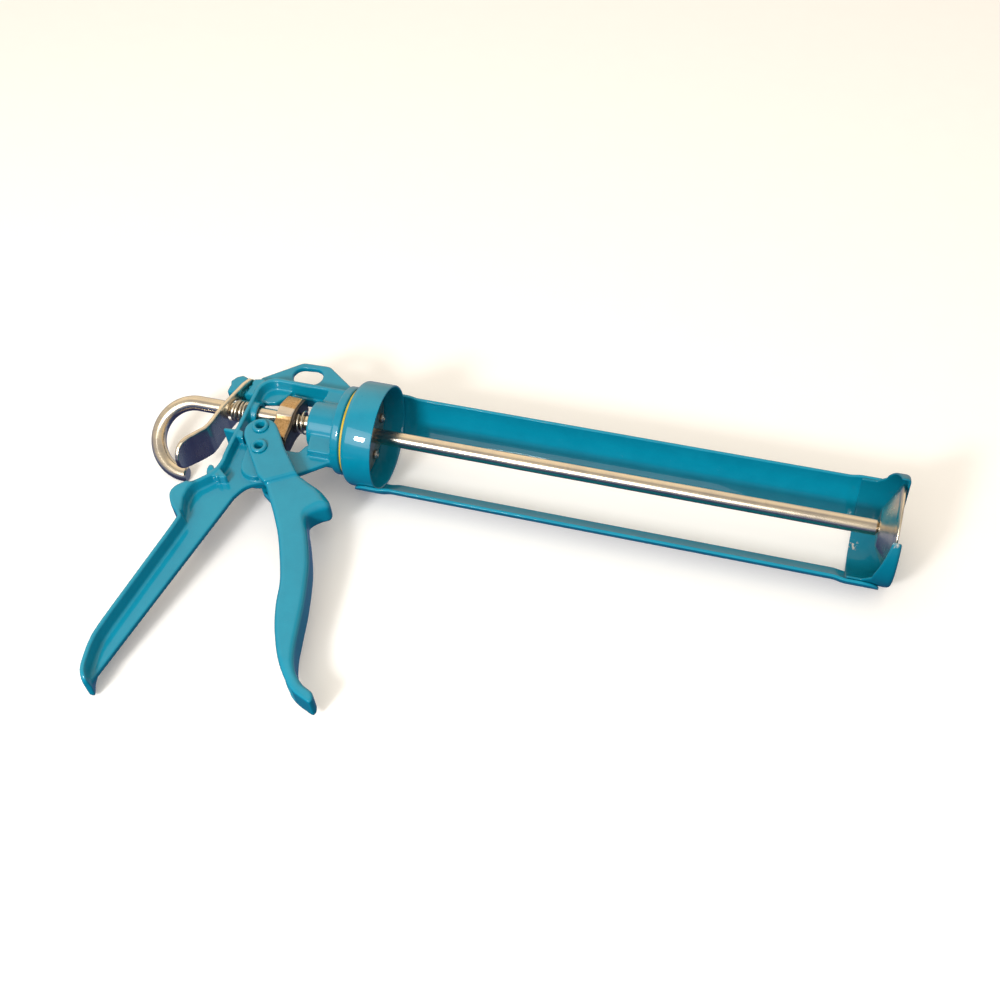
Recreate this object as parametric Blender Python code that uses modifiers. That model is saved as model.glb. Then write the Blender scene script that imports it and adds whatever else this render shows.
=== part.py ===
"""Caulking gun with a swivelling open cradle, lying on its side.

The gun is drawn in its own frame, in millimetres: X runs along the push rod to the nozzle, Y to the
far side, Z up from the handle, with zero on the rod's axis at the front rim of the cradle's cup.
The empty called gun lays everything on its side, resting on the cradle and the tip of the handle.
"""
import math

import bmesh
import bpy
from mathutils import Matrix, Vector

MM = 0.001
GAP = 0.3
TURNED_STEPS = 48

# Push rod, its hook and the piston
ROD_R = 4.0
ROD_FRONT_X = 246.0
HOOK_X = -105.0
HOOK_R = 19.0
HOOK_SWEEP = 185.0
HOOK_TURN = -57.4
STUD_R = 2.5
PISTON_R = 22.5
PISTON_BACK_R = 9.0
PISTON_DEPTH = 8.5

# Cradle
CUP_R = 27.2
CUP_WALL = 1.2
CUP_BACK_X = -16.2
CUP_FILLET = 3.0
RING_BACK_X = 235.6
FRONT_X = 256.6
RAIL_T = 1.5
RAIL_R = 26.6
RAIL_START_X = -11.5
RAIL_END_X = 251.5
RAIL_WIDTH = 50.0
CRADLE_TURN = 10.5
RAIL_OFFSET = 57.5
SLOT_HALF = 12.0
MOUTH_HALF = 16.0

# Casting
FLANGE_R = 23.0
FLANGE_BACK_X = -23.0
FLANGE_FRONT_X = -18.5
SPIGOT_R = 21.6
SPIGOT_FRONT_X = -12.6
BORE_R = 4.4
BOSS_R = 12.5
BOSS_BACK_X = -40.0
POCKET_R = 7.2
POCKET_DEPTH = 12.0
WEB_HALF = 1.6
BEAM_HALF = 7.5
HANDLE_HALF = 9.5
FLANGE_T = 3.0
DISH_FRONT_X = -10.6
RIVET_CIRCLE_R = 19.3
RIVETS = 6

# Trigger and drive
PIVOT = (-58.1, -27.6)
PUSHER = (-62.3, -15.0)
RIVET_SHANK_R = 3.2
RIVET_HEAD_R = 4.3
HEAD_HALF = 10.0
HEAD_INNER = 7.8
LEVER_HALF = 8.0
LEVER_INNER = 5.8
BLOCK_X = (-58.7, -50.0)
PLATE_X = (-49.6, -48.0)
WIRE_R = 0.65
SPRING_R = 5.4

# Release plate
RELEASE_PIVOT = (-81.0, 14.2)
RELEASE_T = 2.2

# How the gun lies: turned on its side, with the handle's tip touching the ground too
LEAN = 6.27

collections = {}
materials = {}
pivots = {}


def clear_scene():
    for ob in list(bpy.data.objects):
        bpy.data.objects.remove(ob, do_unlink=True)


def make_collections():
    for name in ("caulking_gun", "cutters", "work"):
        collections[name] = bpy.data.collections.new(name)
        bpy.context.scene.collection.children.link(collections[name])


def make_material(name, color, metallic, roughness):
    mat = bpy.data.materials.new(name)
    mat.use_nodes = True
    shader = mat.node_tree.nodes["Principled BSDF"]
    shader.inputs["Base Color"].default_value = (*color, 1.0)
    shader.inputs["Metallic"].default_value = metallic
    shader.inputs["Roughness"].default_value = roughness
    mat.diffuse_color = (*color, 1.0)
    return mat


def make_materials():
    finishes = {
        "enamel": ((0.01, 0.27, 0.36), 0.0, 0.25),
        "zinc": ((0.72, 0.68, 0.60), 1.0, 0.22),
        "bronze": ((0.42, 0.27, 0.14), 1.0, 0.35),
        "dark_steel": ((0.10, 0.09, 0.10), 1.0, 0.40),
        "steel": ((0.45, 0.43, 0.42), 1.0, 0.35),
        "yellow": ((0.80, 0.60, 0.02), 0.0, 0.45),
    }
    for name, finish in finishes.items():
        materials[name] = finish


def make_pivot(name, x=0.0, z=0.0):
    empty = bpy.data.objects.new(name, None)
    empty.location = (x * MM, 0.0, z * MM)
    empty.empty_display_size = 0.01
    collections["caulking_gun"].objects.link(empty)
    if name != "gun":
        empty.parent = pivots["gun"]
    pivots[name] = empty


def settle(ob):
    """Turns a curve, or a mesh with its modifiers, into one welded mesh in the gun's frame."""
    bpy.context.view_layer.update()
    depsgraph = bpy.context.evaluated_depsgraph_get()
    mesh = bpy.data.meshes.new_from_object(ob.evaluated_get(depsgraph))
    mesh.transform(ob.matrix_world)
    bm = bmesh.new()
    bm.from_mesh(mesh)
    bmesh.ops.remove_doubles(bm, verts=bm.verts, dist=0.00001)
    bmesh.ops.recalc_face_normals(bm, faces=bm.faces)
    bm.to_mesh(mesh)
    bm.free()
    solid = bpy.data.objects.new(ob.name, mesh)
    for used in [modifier.object for modifier in ob.modifiers if modifier.type == "BOOLEAN"] + [ob]:
        bpy.data.objects.remove(used, do_unlink=True)
    collections["work"].objects.link(solid)
    return solid


def plate(outlines, low, high, plane="XZ"):
    """A flat piece from one or more outlines, the later ones being holes, between two depths."""
    curve = bpy.data.curves.new("plate", "CURVE")
    curve.dimensions = "2D"
    curve.fill_mode = "BOTH"
    curve.extrude = (high - low) / 2 * MM
    for outline in outlines:
        spline = curve.splines.new("POLY")
        spline.points.add(len(outline) - 1)
        for point, (u, v) in zip(spline.points, outline):
            point.co = (u * MM, v * MM, 0.0, 1.0)
        spline.use_cyclic_u = True
    ob = bpy.data.objects.new("plate", curve)
    collections["work"].objects.link(ob)
    middle = (low + high) / 2 * MM
    if plane == "XZ":
        ob.rotation_euler = (math.pi / 2, 0.0, 0.0)
        ob.location.y = middle
    else:
        ob.rotation_euler = (math.pi / 2, 0.0, math.pi / 2)
        ob.location.x = middle
    return settle(ob)


def turned(profile, steps=TURNED_STEPS, closed=False, start=0.0, sweep=360.0, thickness=0.0):
    """A shape turned about the rod's axis, from points (x, radius). An open sheet gets a thickness."""
    mesh = bpy.data.meshes.new("turned")
    points = [(radius * MM, 0.0, x * MM) for x, radius in profile]
    edges = [(i, i + 1) for i in range(len(points) - 1)]
    if closed:
        edges.append((len(points) - 1, 0))
    mesh.from_pydata(points, edges, [])
    ob = bpy.data.objects.new("turned", mesh)
    collections["work"].objects.link(ob)
    screw = ob.modifiers.new("Screw", "SCREW")
    screw.axis = "Z"
    screw.angle = math.radians(sweep)
    screw.steps = steps
    screw.render_steps = steps
    screw.use_merge_vertices = sweep == 360.0
    screw.merge_threshold = 0.00001
    if thickness:
        solidify = ob.modifiers.new("Solidify", "SOLIDIFY")
        solidify.thickness = thickness * MM
        solidify.offset = -1.0
        solidify.use_even_offset = True
    turn = Matrix.Rotation(math.radians(start - 270.0), 4, "Z")
    ob.matrix_world = Matrix.Rotation(math.pi / 2, 4, "Y") @ turn
    return settle(ob)


def cylinder(radius, low, high, centre=(0.0, 0.0), axis="X", steps=32):
    """A solid cylinder along X (centre is y, z) or along Y (centre is x, z)."""
    mesh = bpy.data.meshes.new("cylinder")
    bm = bmesh.new()
    bmesh.ops.create_cone(
        bm, cap_ends=True, segments=steps, radius1=radius * MM, radius2=radius * MM, depth=(high - low) * MM
    )
    bm.to_mesh(mesh)
    bm.free()
    ob = bpy.data.objects.new("cylinder", mesh)
    collections["work"].objects.link(ob)
    middle = (low + high) / 2
    if axis == "X":
        ob.rotation_euler.y = math.pi / 2
        ob.location = Vector((middle, *centre)) * MM
    else:
        ob.rotation_euler.x = math.pi / 2
        ob.location = Vector((centre[0], middle, centre[1])) * MM
    return settle(ob)


def box(low, high):
    mesh = bpy.data.meshes.new("box")
    bm = bmesh.new()
    bmesh.ops.create_cube(bm, size=1.0)
    bm.to_mesh(mesh)
    bm.free()
    ob = bpy.data.objects.new("box", mesh)
    collections["work"].objects.link(ob)
    low, high = Vector(low), Vector(high)
    ob.location = (low + high) / 2 * MM
    ob.scale = (high - low) * MM
    return settle(ob)


def tube(points, radius, resolution=2):
    """A round bar or wire along a list of points."""
    curve = bpy.data.curves.new("tube", "CURVE")
    curve.dimensions = "3D"
    curve.bevel_depth = radius * MM
    curve.bevel_resolution = resolution
    curve.use_fill_caps = True
    spline = curve.splines.new("POLY")
    spline.points.add(len(points) - 1)
    for point, place in zip(spline.points, points):
        point.co = (*(Vector(place) * MM), 1.0)
    ob = bpy.data.objects.new("tube", curve)
    collections["work"].objects.link(ob)
    return settle(ob)


def combine(ob, tools, operation):
    for tool in tools:
        for collection in list(tool.users_collection):
            collection.objects.unlink(tool)
        collections["cutters"].objects.link(tool)
        tool.hide_render = True
        tool.display_type = "WIRE"
        tool.parent = ob
        boolean = ob.modifiers.new("Boolean", "BOOLEAN")
        boolean.operation = operation
        boolean.object = tool
        boolean.solver = "EXACT"
    return ob


def cut(ob, *tools):
    return combine(ob, tools, "DIFFERENCE")


def join(ob, *tools):
    return combine(ob, tools, "UNION")


def finish(ob, name, finish_name, pivot="gun"):
    """Names a piece, gives it its material and hangs it on the empty that it moves with."""
    ob.name = name
    ob.data.name = name
    for collection in list(ob.users_collection):
        collection.objects.unlink(ob)
    collections["caulking_gun"].objects.link(ob)
    ob.data.materials.clear()
    ob.data.materials.append(make_material(name, *materials[finish_name]))
    ob.data.shade_smooth()
    ob.data.set_sharp_from_angle(angle=math.radians(30.0))
    ob.parent = pivots[pivot]
    if pivot != "gun":
        ob.location = -pivots[pivot].location
    return ob


def smooth(points, per_span=4):
    """A curve through the points, as a list of closely spaced points."""
    padded = [points[0], *points, points[-1]]
    result = []
    for a, b, c, d in zip(padded, padded[1:], padded[2:], padded[3:]):
        for step in range(per_span):
            t = step / per_span
            result.append(tuple(
                0.5 * (2 * q + (r - p) * t + (2 * p - 5 * q + 4 * r - s) * t * t + (3 * q - p - 3 * r + s) * t ** 3)
                for p, q, r, s in zip(a, b, c, d)
            ))
    result.append(points[-1])
    return result


def arc(centre, radius, start, end, count=8):
    angles = [math.radians(start + (end - start) * i / count) for i in range(count + 1)]
    return [(centre[0] + radius * math.cos(a), centre[1] + radius * math.sin(a)) for a in angles]


def offset(path, distance):
    """The path moved sideways: to its left for a positive distance."""
    result = []
    for i, point in enumerate(path):
        before, after = path[max(i - 1, 0)], path[min(i + 1, len(path) - 1)]
        dx, dz = after[0] - before[0], after[1] - before[1]
        length = math.hypot(dx, dz)
        result.append((point[0] - dz / length * distance, point[1] + dx / length * distance))
    return result


def ribbon(path, thickness, low, high):
    """A strip on edge: the path is one side, and the other lies to its left."""
    return plate([path + offset(path, thickness)[::-1]], low, high)


def rounded_bar(a, b, radius, count=8):
    """An outline with round ends about two centres."""
    angle = math.degrees(math.atan2(b[1] - a[1], b[0] - a[0]))
    return arc(b, radius, angle - 90, angle + 90, count) + arc(a, radius, angle + 90, angle + 270, count)


def rivet(point, half, head_r=RIVET_HEAD_R, shank_r=RIVET_SHANK_R):
    """A tubular rivet along Y, with a rolled head and a dimple at each end."""
    head_t, dimple_r, dimple_depth = 1.3, 0.45 * head_r, 3.0
    side = [
        (half + head_t - dimple_depth, 0.0),
        (half + head_t - dimple_depth, dimple_r),
        (half + head_t - 0.4, dimple_r + 0.2),
        (half + head_t, dimple_r + 0.8),
        (half + head_t - 0.2, head_r - 0.6),
        (half + 0.5, head_r),
        (half, head_r),
        (half, shank_r),
    ]
    profile = side + [(-x, radius) for x, radius in reversed(side)]
    ob = turned(profile, steps=20)
    ob.data.transform(Matrix.Rotation(math.pi / 2, 4, "Z"))
    ob.data.transform(Matrix.Translation(Vector((point[0], 0.0, point[1])) * MM))
    return ob


def make_casting():
    beam_top, beam_rear, corner = 20.4, -76.0, 10.4
    corner_centre = (beam_rear + corner, beam_top - corner)
    beam = [(FLANGE_FRONT_X - 2.0, beam_top)] + arc(corner_centre, corner, 90, 180, 6)
    post = smooth([
        (beam_rear, 4.0), (-75.8, -30.0), (-75.4, -38.5), (-77.2, -45.5), (-81.5, -50.8), (-86.0, -55.2),
    ])
    handle_rear = smooth([
        (-86.0, -55.2), (-90.4, -59.6), (-91.4, -64.5), (-88.0, -70.4), (-82.8, -75.4), (-82.3, -80.0),
        (-87.2, -110.0), (-92.4, -142.0), (-92.9, -151.5), (-92.1, -158.5), (-90.4, -166.5), (-86.6, -173.4),
    ])
    horn = [(-86.0, -55.2), (-90.4, -59.6), (-91.4, -64.5), (-88.0, -70.4), (-82.8, -75.4), (-80.5, -72.0),
            (-81.5, -64.0), (-81.0, -57.0), (-80.0, -53.0)]
    web_front = smooth([(-48.0, -41.6), (-54.0, -43.6), (-59.6, -47.6), (-63.0, -54.0)])
    web = [
        (-78.4, 16.0), (-78.9, 23.2), (-60.4, 38.4), (-45.3, 38.8), (-21.0, 21.6), (-21.0, -21.0), (-37.0, -34.0),
        *web_front, (-86.2, -167.0), (-88.4, -168.0), (-90.4, -160.0), (-91.3, -152.0), (-90.6, -142.0),
        (-80.8, -80.0), (-84.0, -73.0), (-89.5, -65.0), (-84.5, -56.0), (-76.0, -47.0), (-74.2, -38.5),
        (-74.4, 8.0), (-72.0, 16.0),
    ]
    window = [
        (-74.0, -21.0), (-41.0, -20.4), (-39.2, -16.0), (-34.0, -10.0), (-34.0, 10.0), (-37.8, 14.6),
        (-41.5, 19.2), (-63.0, 20.2), (-72.0, 14.0), (-74.4, 6.0),
    ]
    hang_hole = rounded_bar((-57.4, 29.6), (-52.0, 30.0), 5.5)
    casting = plate([web, window, hang_hole], -WEB_HALF, WEB_HALF)

    side_wall = [(-37.8, beam_top - 1.2), (-37.8, 14.0), (-40.0, 6.0), (-21.0, 6.0), (-21.0, beam_top - 1.2)]
    wedge = [(-38.4, -4.0), (-35.6, -21.4), (-21.0, -21.4), (-21.0, -4.0)]
    join(
        casting,
        ribbon(beam + post, FLANGE_T, -BEAM_HALF, BEAM_HALF),
        ribbon(handle_rear, FLANGE_T, -HANDLE_HALF, HANDLE_HALF),
        plate([horn], -HANDLE_HALF + 0.15, HANDLE_HALF - 0.15),
        plate([side_wall], -BEAM_HALF + 0.2, BEAM_HALF - 0.2),
        plate([wedge], -6.0, 6.0),
        cylinder(BOSS_R, BOSS_BACK_X, FLANGE_BACK_X + 1.0, steps=36),
        turned([
            (FLANGE_BACK_X, 0.0), (FLANGE_BACK_X, FLANGE_R - 0.8), (FLANGE_BACK_X + 0.8, FLANGE_R),
            (FLANGE_FRONT_X - 0.5, FLANGE_R), (FLANGE_FRONT_X, FLANGE_R - 0.5), (FLANGE_FRONT_X, SPIGOT_R),
            (SPIGOT_FRONT_X, SPIGOT_R), (SPIGOT_FRONT_X, 0.0),
        ]),
        plate([rounded_bar(PIVOT, (PIVOT[0] + 0.7, PIVOT[1] - 7.2), 8.3)], -5.2, 5.2),
        cylinder(6.6, -73.5, -70.4, steps=24),
        make_release_lug(),
        make_stop_shelf(),
    )
    cut(
        casting,
        cylinder(BORE_R, -100.0, 0.0, steps=20),
        cylinder(POCKET_R, BOSS_BACK_X - 1.0, BOSS_BACK_X + POCKET_DEPTH, steps=28),
        cylinder(RIVET_SHANK_R + GAP, -20.0, 20.0, centre=PIVOT, axis="Y", steps=20),
        *(plate([handle_corner(side)], -100.0, -75.0, plane="YZ") for side in (-1, 1)),
    )
    for y, z in rivet_places():
        cut(casting, cylinder(1.5, SPIGOT_FRONT_X - 4.5, 0.0, centre=(y, z), steps=12))
    return finish(casting, "frame_casting", "enamel")


def handle_corner(side):
    """What rounds off one corner of the handle's end, as points (y, z)."""
    curve = arc((HANDLE_HALF - 5.6, -167.6), 5.8, -90, 0, 5)
    return [(side * y, z) for y, z in curve + [(12.0, -167.6), (12.0, -180.0), (HANDLE_HALF - 5.6, -180.0)]]


def make_release_lug():
    """A tongue that passes through the release plate, with a wall before it and a nub behind it."""
    lug = box((-92.5, -3.2, 8.8), (-74.5, 3.2, 13.4))
    nub = plate([[
        (-88.6, 7.2), (-86.2, 7.2), (-83.2, 17.4), (-84.6, 20.2), (-88.4, 20.8), (-92.2, 18.4), (-93.2, 14.5),
        (-91.4, 9.6),
    ]], -4.4, 4.4)
    wall = plate([[(-81.2, 6.9), (-74.6, 6.8), (-74.2, 12.0), (-71.8, 16.6), (-74.6, 18.8), (-79.5, 17.6)]], -6.6, 6.6)
    return settle(join(lug, nub, wall))


def make_stop_shelf():
    """A shelf behind the post, where the release plate stops, carried on as a rib before it."""
    shelf = plate([[(-82.2, -19.0), (-74.0, -19.6), (-74.0, -16.9), (-82.2, -17.4)]], -6.8, 6.8)
    rib = plate([[(-74.5, -19.4), (-66.0, -18.8), (-66.0, -17.4), (-74.5, -16.8)]], -4.5, 4.5)
    return settle(join(shelf, rib))


def rivet_places():
    angles = [math.radians(7.0 + 360.0 * i / RIVETS) for i in range(RIVETS)]
    return [(RIVET_CIRCLE_R * math.cos(a), RIVET_CIRCLE_R * math.sin(a)) for a in angles]


def make_swivel():
    """The bearing ring, and the steel dish with its rivets that keeps the cup on the casting."""
    ring = [
        (FLANGE_FRONT_X + GAP, SPIGOT_R + GAP), (FLANGE_FRONT_X + GAP, FLANGE_R + 0.4),
        (CUP_BACK_X - GAP, FLANGE_R + 0.4), (CUP_BACK_X - GAP, SPIGOT_R + GAP),
    ]
    finish(turned(ring, closed=True), "bearing_ring", "yellow")
    back = CUP_BACK_X + CUP_WALL + GAP
    front, wall, rim = DISH_FRONT_X, 1.4, 24.6
    dish = [
        (back, rim), (front - 1.0, rim), (front, rim - 1.0), (front, 13.4), (front + 1.4, 12.0), (front + 1.4, 4.8),
        (front + 1.4 - wall, 4.8), (front + 1.4 - wall, 11.6), (front - wall, 12.8), (front - wall, rim - wall),
        (back, rim - wall),
    ]
    pan = turned(dish, closed=True)
    for y, z in rivet_places():
        cut(pan, cylinder(1.5, SPIGOT_FRONT_X, 0.0, centre=(y, z), steps=12))
    finish(pan, "retainer_dish", "steel")


def make_rivets():
    """Round-headed rivets that hold the dish to the casting's spigot."""
    for number, (y, z) in enumerate(rivet_places(), start=1):
        seat = DISH_FRONT_X + GAP
        profile = [(SPIGOT_FRONT_X - 4.0, 0.0), (SPIGOT_FRONT_X - 4.0, 1.2), (seat, 1.2), (seat, 2.7),
                   (seat + 0.8, 2.4), (seat + 1.4, 1.3), (seat + 1.5, 0.0)]
        ob = turned(profile, steps=12)
        ob.data.transform(Matrix.Translation(Vector((0.0, y, z)) * MM))
        finish(ob, f"retainer_rivet_{number}", "steel")


def make_cup():
    back, r, wall, f = CUP_BACK_X, CUP_R, CUP_WALL, CUP_FILLET
    hole = SPIGOT_R + GAP
    outer = [(back + f - f * math.cos(a), r - f + f * math.sin(a)) for a in (0.0, 0.4, 0.8, 1.2, math.pi / 2)]
    inner_f = f - wall
    inner = [
        (back + f - inner_f * math.cos(a), r - f + inner_f * math.sin(a)) for a in (math.pi / 2, 1.05, 0.5, 0.0)
    ]
    profile = [(back, hole), *outer, (0.0, r), (0.0, r - wall), *inner, (back + wall, hole)]
    finish(turned(profile, closed=True), "cradle_cup", "enamel", "cradle_axis")


def make_rail(name, middle):
    """One side rail: a curved strip, stepped outwards over the cup and over the front ring."""
    step = CUP_R + GAP - RAIL_R
    end_r = RAIL_R + step
    profile = [
        (RAIL_START_X, end_r), (1.5, end_r), (8.0, RAIL_R), (120.0, RAIL_R), (RING_BACK_X - 6.5, RAIL_R),
        (RING_BACK_X + 0.5, end_r), (RAIL_END_X, end_r),
    ]
    rail = turned(profile, steps=10, start=middle - RAIL_WIDTH / 2, sweep=RAIL_WIDTH, thickness=RAIL_T)
    finish(rail, name, "enamel", "cradle_axis")


def make_front_ring():
    """The front cup: a band under the rails, short arms, and a front plate with the nozzle's slot."""
    r, wall = CUP_R, CUP_WALL
    profile = [
        (RING_BACK_X, r), (FRONT_X - 2.0, r), (FRONT_X - 0.6, r - 0.6), (FRONT_X, r - 2.0), (FRONT_X, SLOT_HALF),
        (FRONT_X - wall, SLOT_HALF), (FRONT_X - wall, r - 2.0), (FRONT_X - 2.0, r - wall), (RING_BACK_X, r - wall),
    ]
    ring = turned(profile, closed=True, steps=60)
    reach = 40.0
    slot = [(0.0, -SLOT_HALF + 2.0), (-reach, -MOUTH_HALF - 6.0), (-reach, MOUTH_HALF + 6.0), (0.0, SLOT_HALF - 2.0)]
    mouth = plate([slot], FRONT_X - 30.0, FRONT_X + 10.0, plane="YZ")
    side = [
        (FRONT_X - 40.0, 3.0), (RING_BACK_X + 7.0, 3.0), (RING_BACK_X + 11.0, -1.0), (FRONT_X - 9.5, -4.0),
        (FRONT_X - 4.6, -20.0), (FRONT_X - 4.6, -40.0), (FRONT_X - 40.0, -40.0),
    ]
    flank = plate([side], -reach, reach)
    flank.data.transform(Matrix.Rotation(-math.pi / 2, 4, "X"))
    for tool in (mouth, flank):
        tool.data.transform(Matrix.Rotation(math.radians(CRADLE_TURN), 4, "X"))
    cut(ring, mouth, flank)
    finish(ring, "front_ring", "enamel", "cradle_axis")


def trigger_front():
    return smooth([
        (-32.2, -38.7), (-23.5, -44.6), (-17.0, -48.0), (-13.0, -50.6), (-13.4, -53.2), (-18.2, -55.2),
        (-21.0, -58.8), (-20.2, -63.0), (-15.4, -72.6), (-9.4, -87.0), (-4.4, -106.0), (-1.6, -121.0),
        (0.8, -133.0), (4.2, -141.6), (9.6, -147.4), (15.6, -150.6), (17.2, -154.0), (16.4, -156.2),
    ])


def make_trigger():
    head = [
        *smooth([
            (-64.4, -28.4), (-69.0, -21.5), (-70.0, -15.5), (-66.8, -10.6), (-61.8, -8.8), (-56.6, -10.2),
            (-52.2, -15.0), (-45.7, -24.4),
        ]),
        (-32.2, -38.7), (-47.6, -47.6), (-52.6, -44.2),
    ]
    front = trigger_front()
    rear = smooth([
        (15.0, -155.8), (4.3, -150.6), (-5.0, -139.6), (-12.6, -124.8), (-17.2, -111.5), (-20.4, -98.0),
        (-28.8, -78.2), (-36.0, -65.3), (-43.9, -53.4), (-47.6, -47.6),
    ])
    lever = plate([front + rear], -LEVER_HALF, LEVER_HALF)
    inner_front = [
        (-34.0, -38.0), (-25.0, -47.5), (-23.6, -57.0), (-23.0, -63.0), (-18.0, -73.4), (-12.0, -87.8),
        (-7.0, -106.6), (-4.2, -121.6), (-1.8, -134.0), (1.8, -143.0), (7.4, -149.4),
    ]
    channel = [*inner_front, (4.0, -158.0), (-40.0, -130.0), (-52.0, -60.0), (-55.0, -38.0)]
    cheeks = plate([head], -HEAD_HALF, HEAD_HALF)
    trigger = join(lever, cheeks)
    cut(
        trigger,
        plate([channel], -LEVER_INNER, LEVER_INNER),
        box((-80.0, -HEAD_INNER, -43.5), (-20.0, HEAD_INNER, 0.0)),
    )
    for place in (PIVOT, PUSHER):
        cut(trigger, cylinder(RIVET_SHANK_R + GAP, -20.0, 20.0, centre=place, axis="Y", steps=20))
    finish(trigger, "trigger", "enamel", "trigger_pivot")
    finish(rivet(PUSHER, HEAD_HALF + GAP), "push_rivet", "enamel", "trigger_pivot")
    finish(rivet(PIVOT, HEAD_HALF + GAP), "pivot_rivet", "enamel")


def drive_outline(tail):
    """Widest beside the rod, and narrowing to a tail that the trigger pushes, as points (y, z)."""
    half = [
        (3.8, 12.4), (4.8, 11.8), (8.4, 2.4), (8.6, -2.6), (6.8, -5.6), (5.4, -11.5), (5.0, tail + 2.0), (3.4, tail),
    ]
    return half + [(-y, z) for y, z in reversed(half)]


def make_drive():
    bore = {"radius": ROD_R + GAP, "steps": 20}
    block = plate([drive_outline(-17.2)], *BLOCK_X, plane="YZ")
    cut(block, cylinder(low=-70.0, high=-40.0, **bore))
    finish(block, "drive_block", "bronze", "drive_axis")
    thin = plate([drive_outline(-19.4)], *PLATE_X, plane="YZ")
    cut(thin, cylinder(low=-70.0, high=-40.0, **bore))
    finish(thin, "drive_plate", "dark_steel", "drive_axis")


def coil(low, high, turns, tilt=0.0, per_turn=12):
    """Points of a spring about the rod with closed end turns. A tilt leans its first turns back."""
    count = int(turns * per_turn)
    pitch_low, pitch_high = low + WIRE_R, high - WIRE_R
    points = []
    for i in range(count + 1):
        angle = 2 * math.pi * i / per_turn
        share = i / count
        x = pitch_low + (pitch_high - pitch_low) * (share - math.sin(2 * math.pi * share) / 14.0)
        lean = tilt * SPRING_R * math.sin(angle) * (1.0 - share)
        points.append((x + lean, SPRING_R * math.cos(angle), SPRING_R * math.sin(angle)))
    return points


def make_springs():
    drive = tube(coil(PLATE_X[1] + GAP, BOSS_BACK_X + POCKET_DEPTH - GAP, 5.5), WIRE_R, resolution=1)
    finish(drive, "drive_spring", "zinc")
    release = tube(coil(-84.4, -76.4, 4.5, tilt=0.28), WIRE_R, resolution=1)
    finish(release, "release_spring", "zinc")


def make_release_plate():
    """A lever plate: its window hangs on the casting's tongue, and its foot is the thumb tab."""
    rear = [(-82.2, 17.4), (-88.8, -6.0), (-90.6, -18.8)] + smooth([
        (-91.4, -21.6), (-94.8, -26.2), (-98.2, -30.4), (-100.4, -34.6), (-101.0, -38.6), (-100.8, -43.0),
    ], 3)
    strip = ribbon(rear, RELEASE_T, -11.0, 11.0)
    half = [
        (3.4, 17.0), (6.8, 14.8), (8.6, 11.0), (9.2, 4.0), (9.6, -16.0), (10.5, -25.0), (10.4, -30.0), (9.7, -33.5),
        (8.0, -36.6), (5.4, -39.0), (2.4, -40.5),
    ]
    shape = half + [(-y, z) for y, z in reversed(half)]
    blank = plate([shape], -110.0, -70.0, plane="YZ")
    trim = combine(strip, [blank], "INTERSECT")
    cut(trim, cylinder(ROD_R + 1.4, -100.0, -70.0, steps=20))
    cut(trim, box((-100.0, -3.9, 8.1), (-70.0, 3.9, 14.2)))
    finish(trim, "release_plate", "zinc", "release_pivot")


def make_piston():
    back = ROD_FRONT_X + GAP
    front = back + PISTON_DEPTH
    wall = 1.2
    profile = [
        (back, STUD_R + GAP), (back, PISTON_BACK_R), (front - 2.0, PISTON_R - 2.2), (front - 0.9, PISTON_R),
        (front, PISTON_R), (front, PISTON_R - 0.9), (front - 0.9, PISTON_R - 2.6), (back + wall, PISTON_BACK_R - 0.6),
        (back + wall, STUD_R + GAP),
    ]
    finish(turned(profile, closed=True), "piston_plate", "zinc", "plunger_axis")
    seat = back + wall + GAP
    washer = [(seat, STUD_R + GAP), (seat, 6.0), (seat + 1.0, 6.0), (seat + 1.0, STUD_R + GAP)]
    finish(turned(washer, closed=True, steps=24), "piston_washer", "zinc", "rod_axis")
    hole = (STUD_R + GAP) / math.cos(math.pi / 6)
    nut = turned([(seat + 1.3, hole), (seat + 1.3, 4.6), (seat + 5.0, 4.6), (seat + 5.0, hole)], closed=True, steps=6)
    finish(nut, "piston_nut", "zinc", "rod_axis")


def make_rod():
    """The straight rod, its threaded end, and the hook bent at its back."""
    sweep = [math.radians(HOOK_SWEEP * i / 22) for i in range(23)]
    hook = [(HOOK_X - HOOK_R * math.sin(a), HOOK_R - HOOK_R * math.cos(a)) for a in sweep]
    turn = math.radians(HOOK_TURN)
    points = [(ROD_FRONT_X, 0.0, 0.0), (80.0, 0.0, 0.0), (-60.0, 0.0, 0.0)]
    points += [(x, s * math.cos(turn), s * math.sin(turn)) for x, s in hook]
    rod = tube(points, ROD_R, resolution=2)
    join(rod, cylinder(STUD_R, ROD_FRONT_X - 4.0, ROD_FRONT_X + 7.6, steps=12))
    finish(rod, "push_rod", "zinc", "rod_axis")


def lay_down():
    """Rolls the gun on its side, then centres it and sets its lowest point on the ground."""
    gun = pivots["gun"]
    gun.rotation_euler.x = -math.radians(90.0 - LEAN)
    bpy.context.view_layer.update()
    depsgraph = bpy.context.evaluated_depsgraph_get()
    low, high = Vector((1e9,) * 3), Vector((-1e9,) * 3)
    for ob in collections["caulking_gun"].objects:
        if ob.type != "MESH":
            continue
        solid = ob.evaluated_get(depsgraph)
        for vertex in solid.data.vertices:
            place = solid.matrix_world @ vertex.co
            low = Vector(map(min, low, place))
            high = Vector(map(max, high, place))
    gun.location = (-(low.x + high.x) / 2, -(low.y + high.y) / 2, -low.z)


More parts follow.
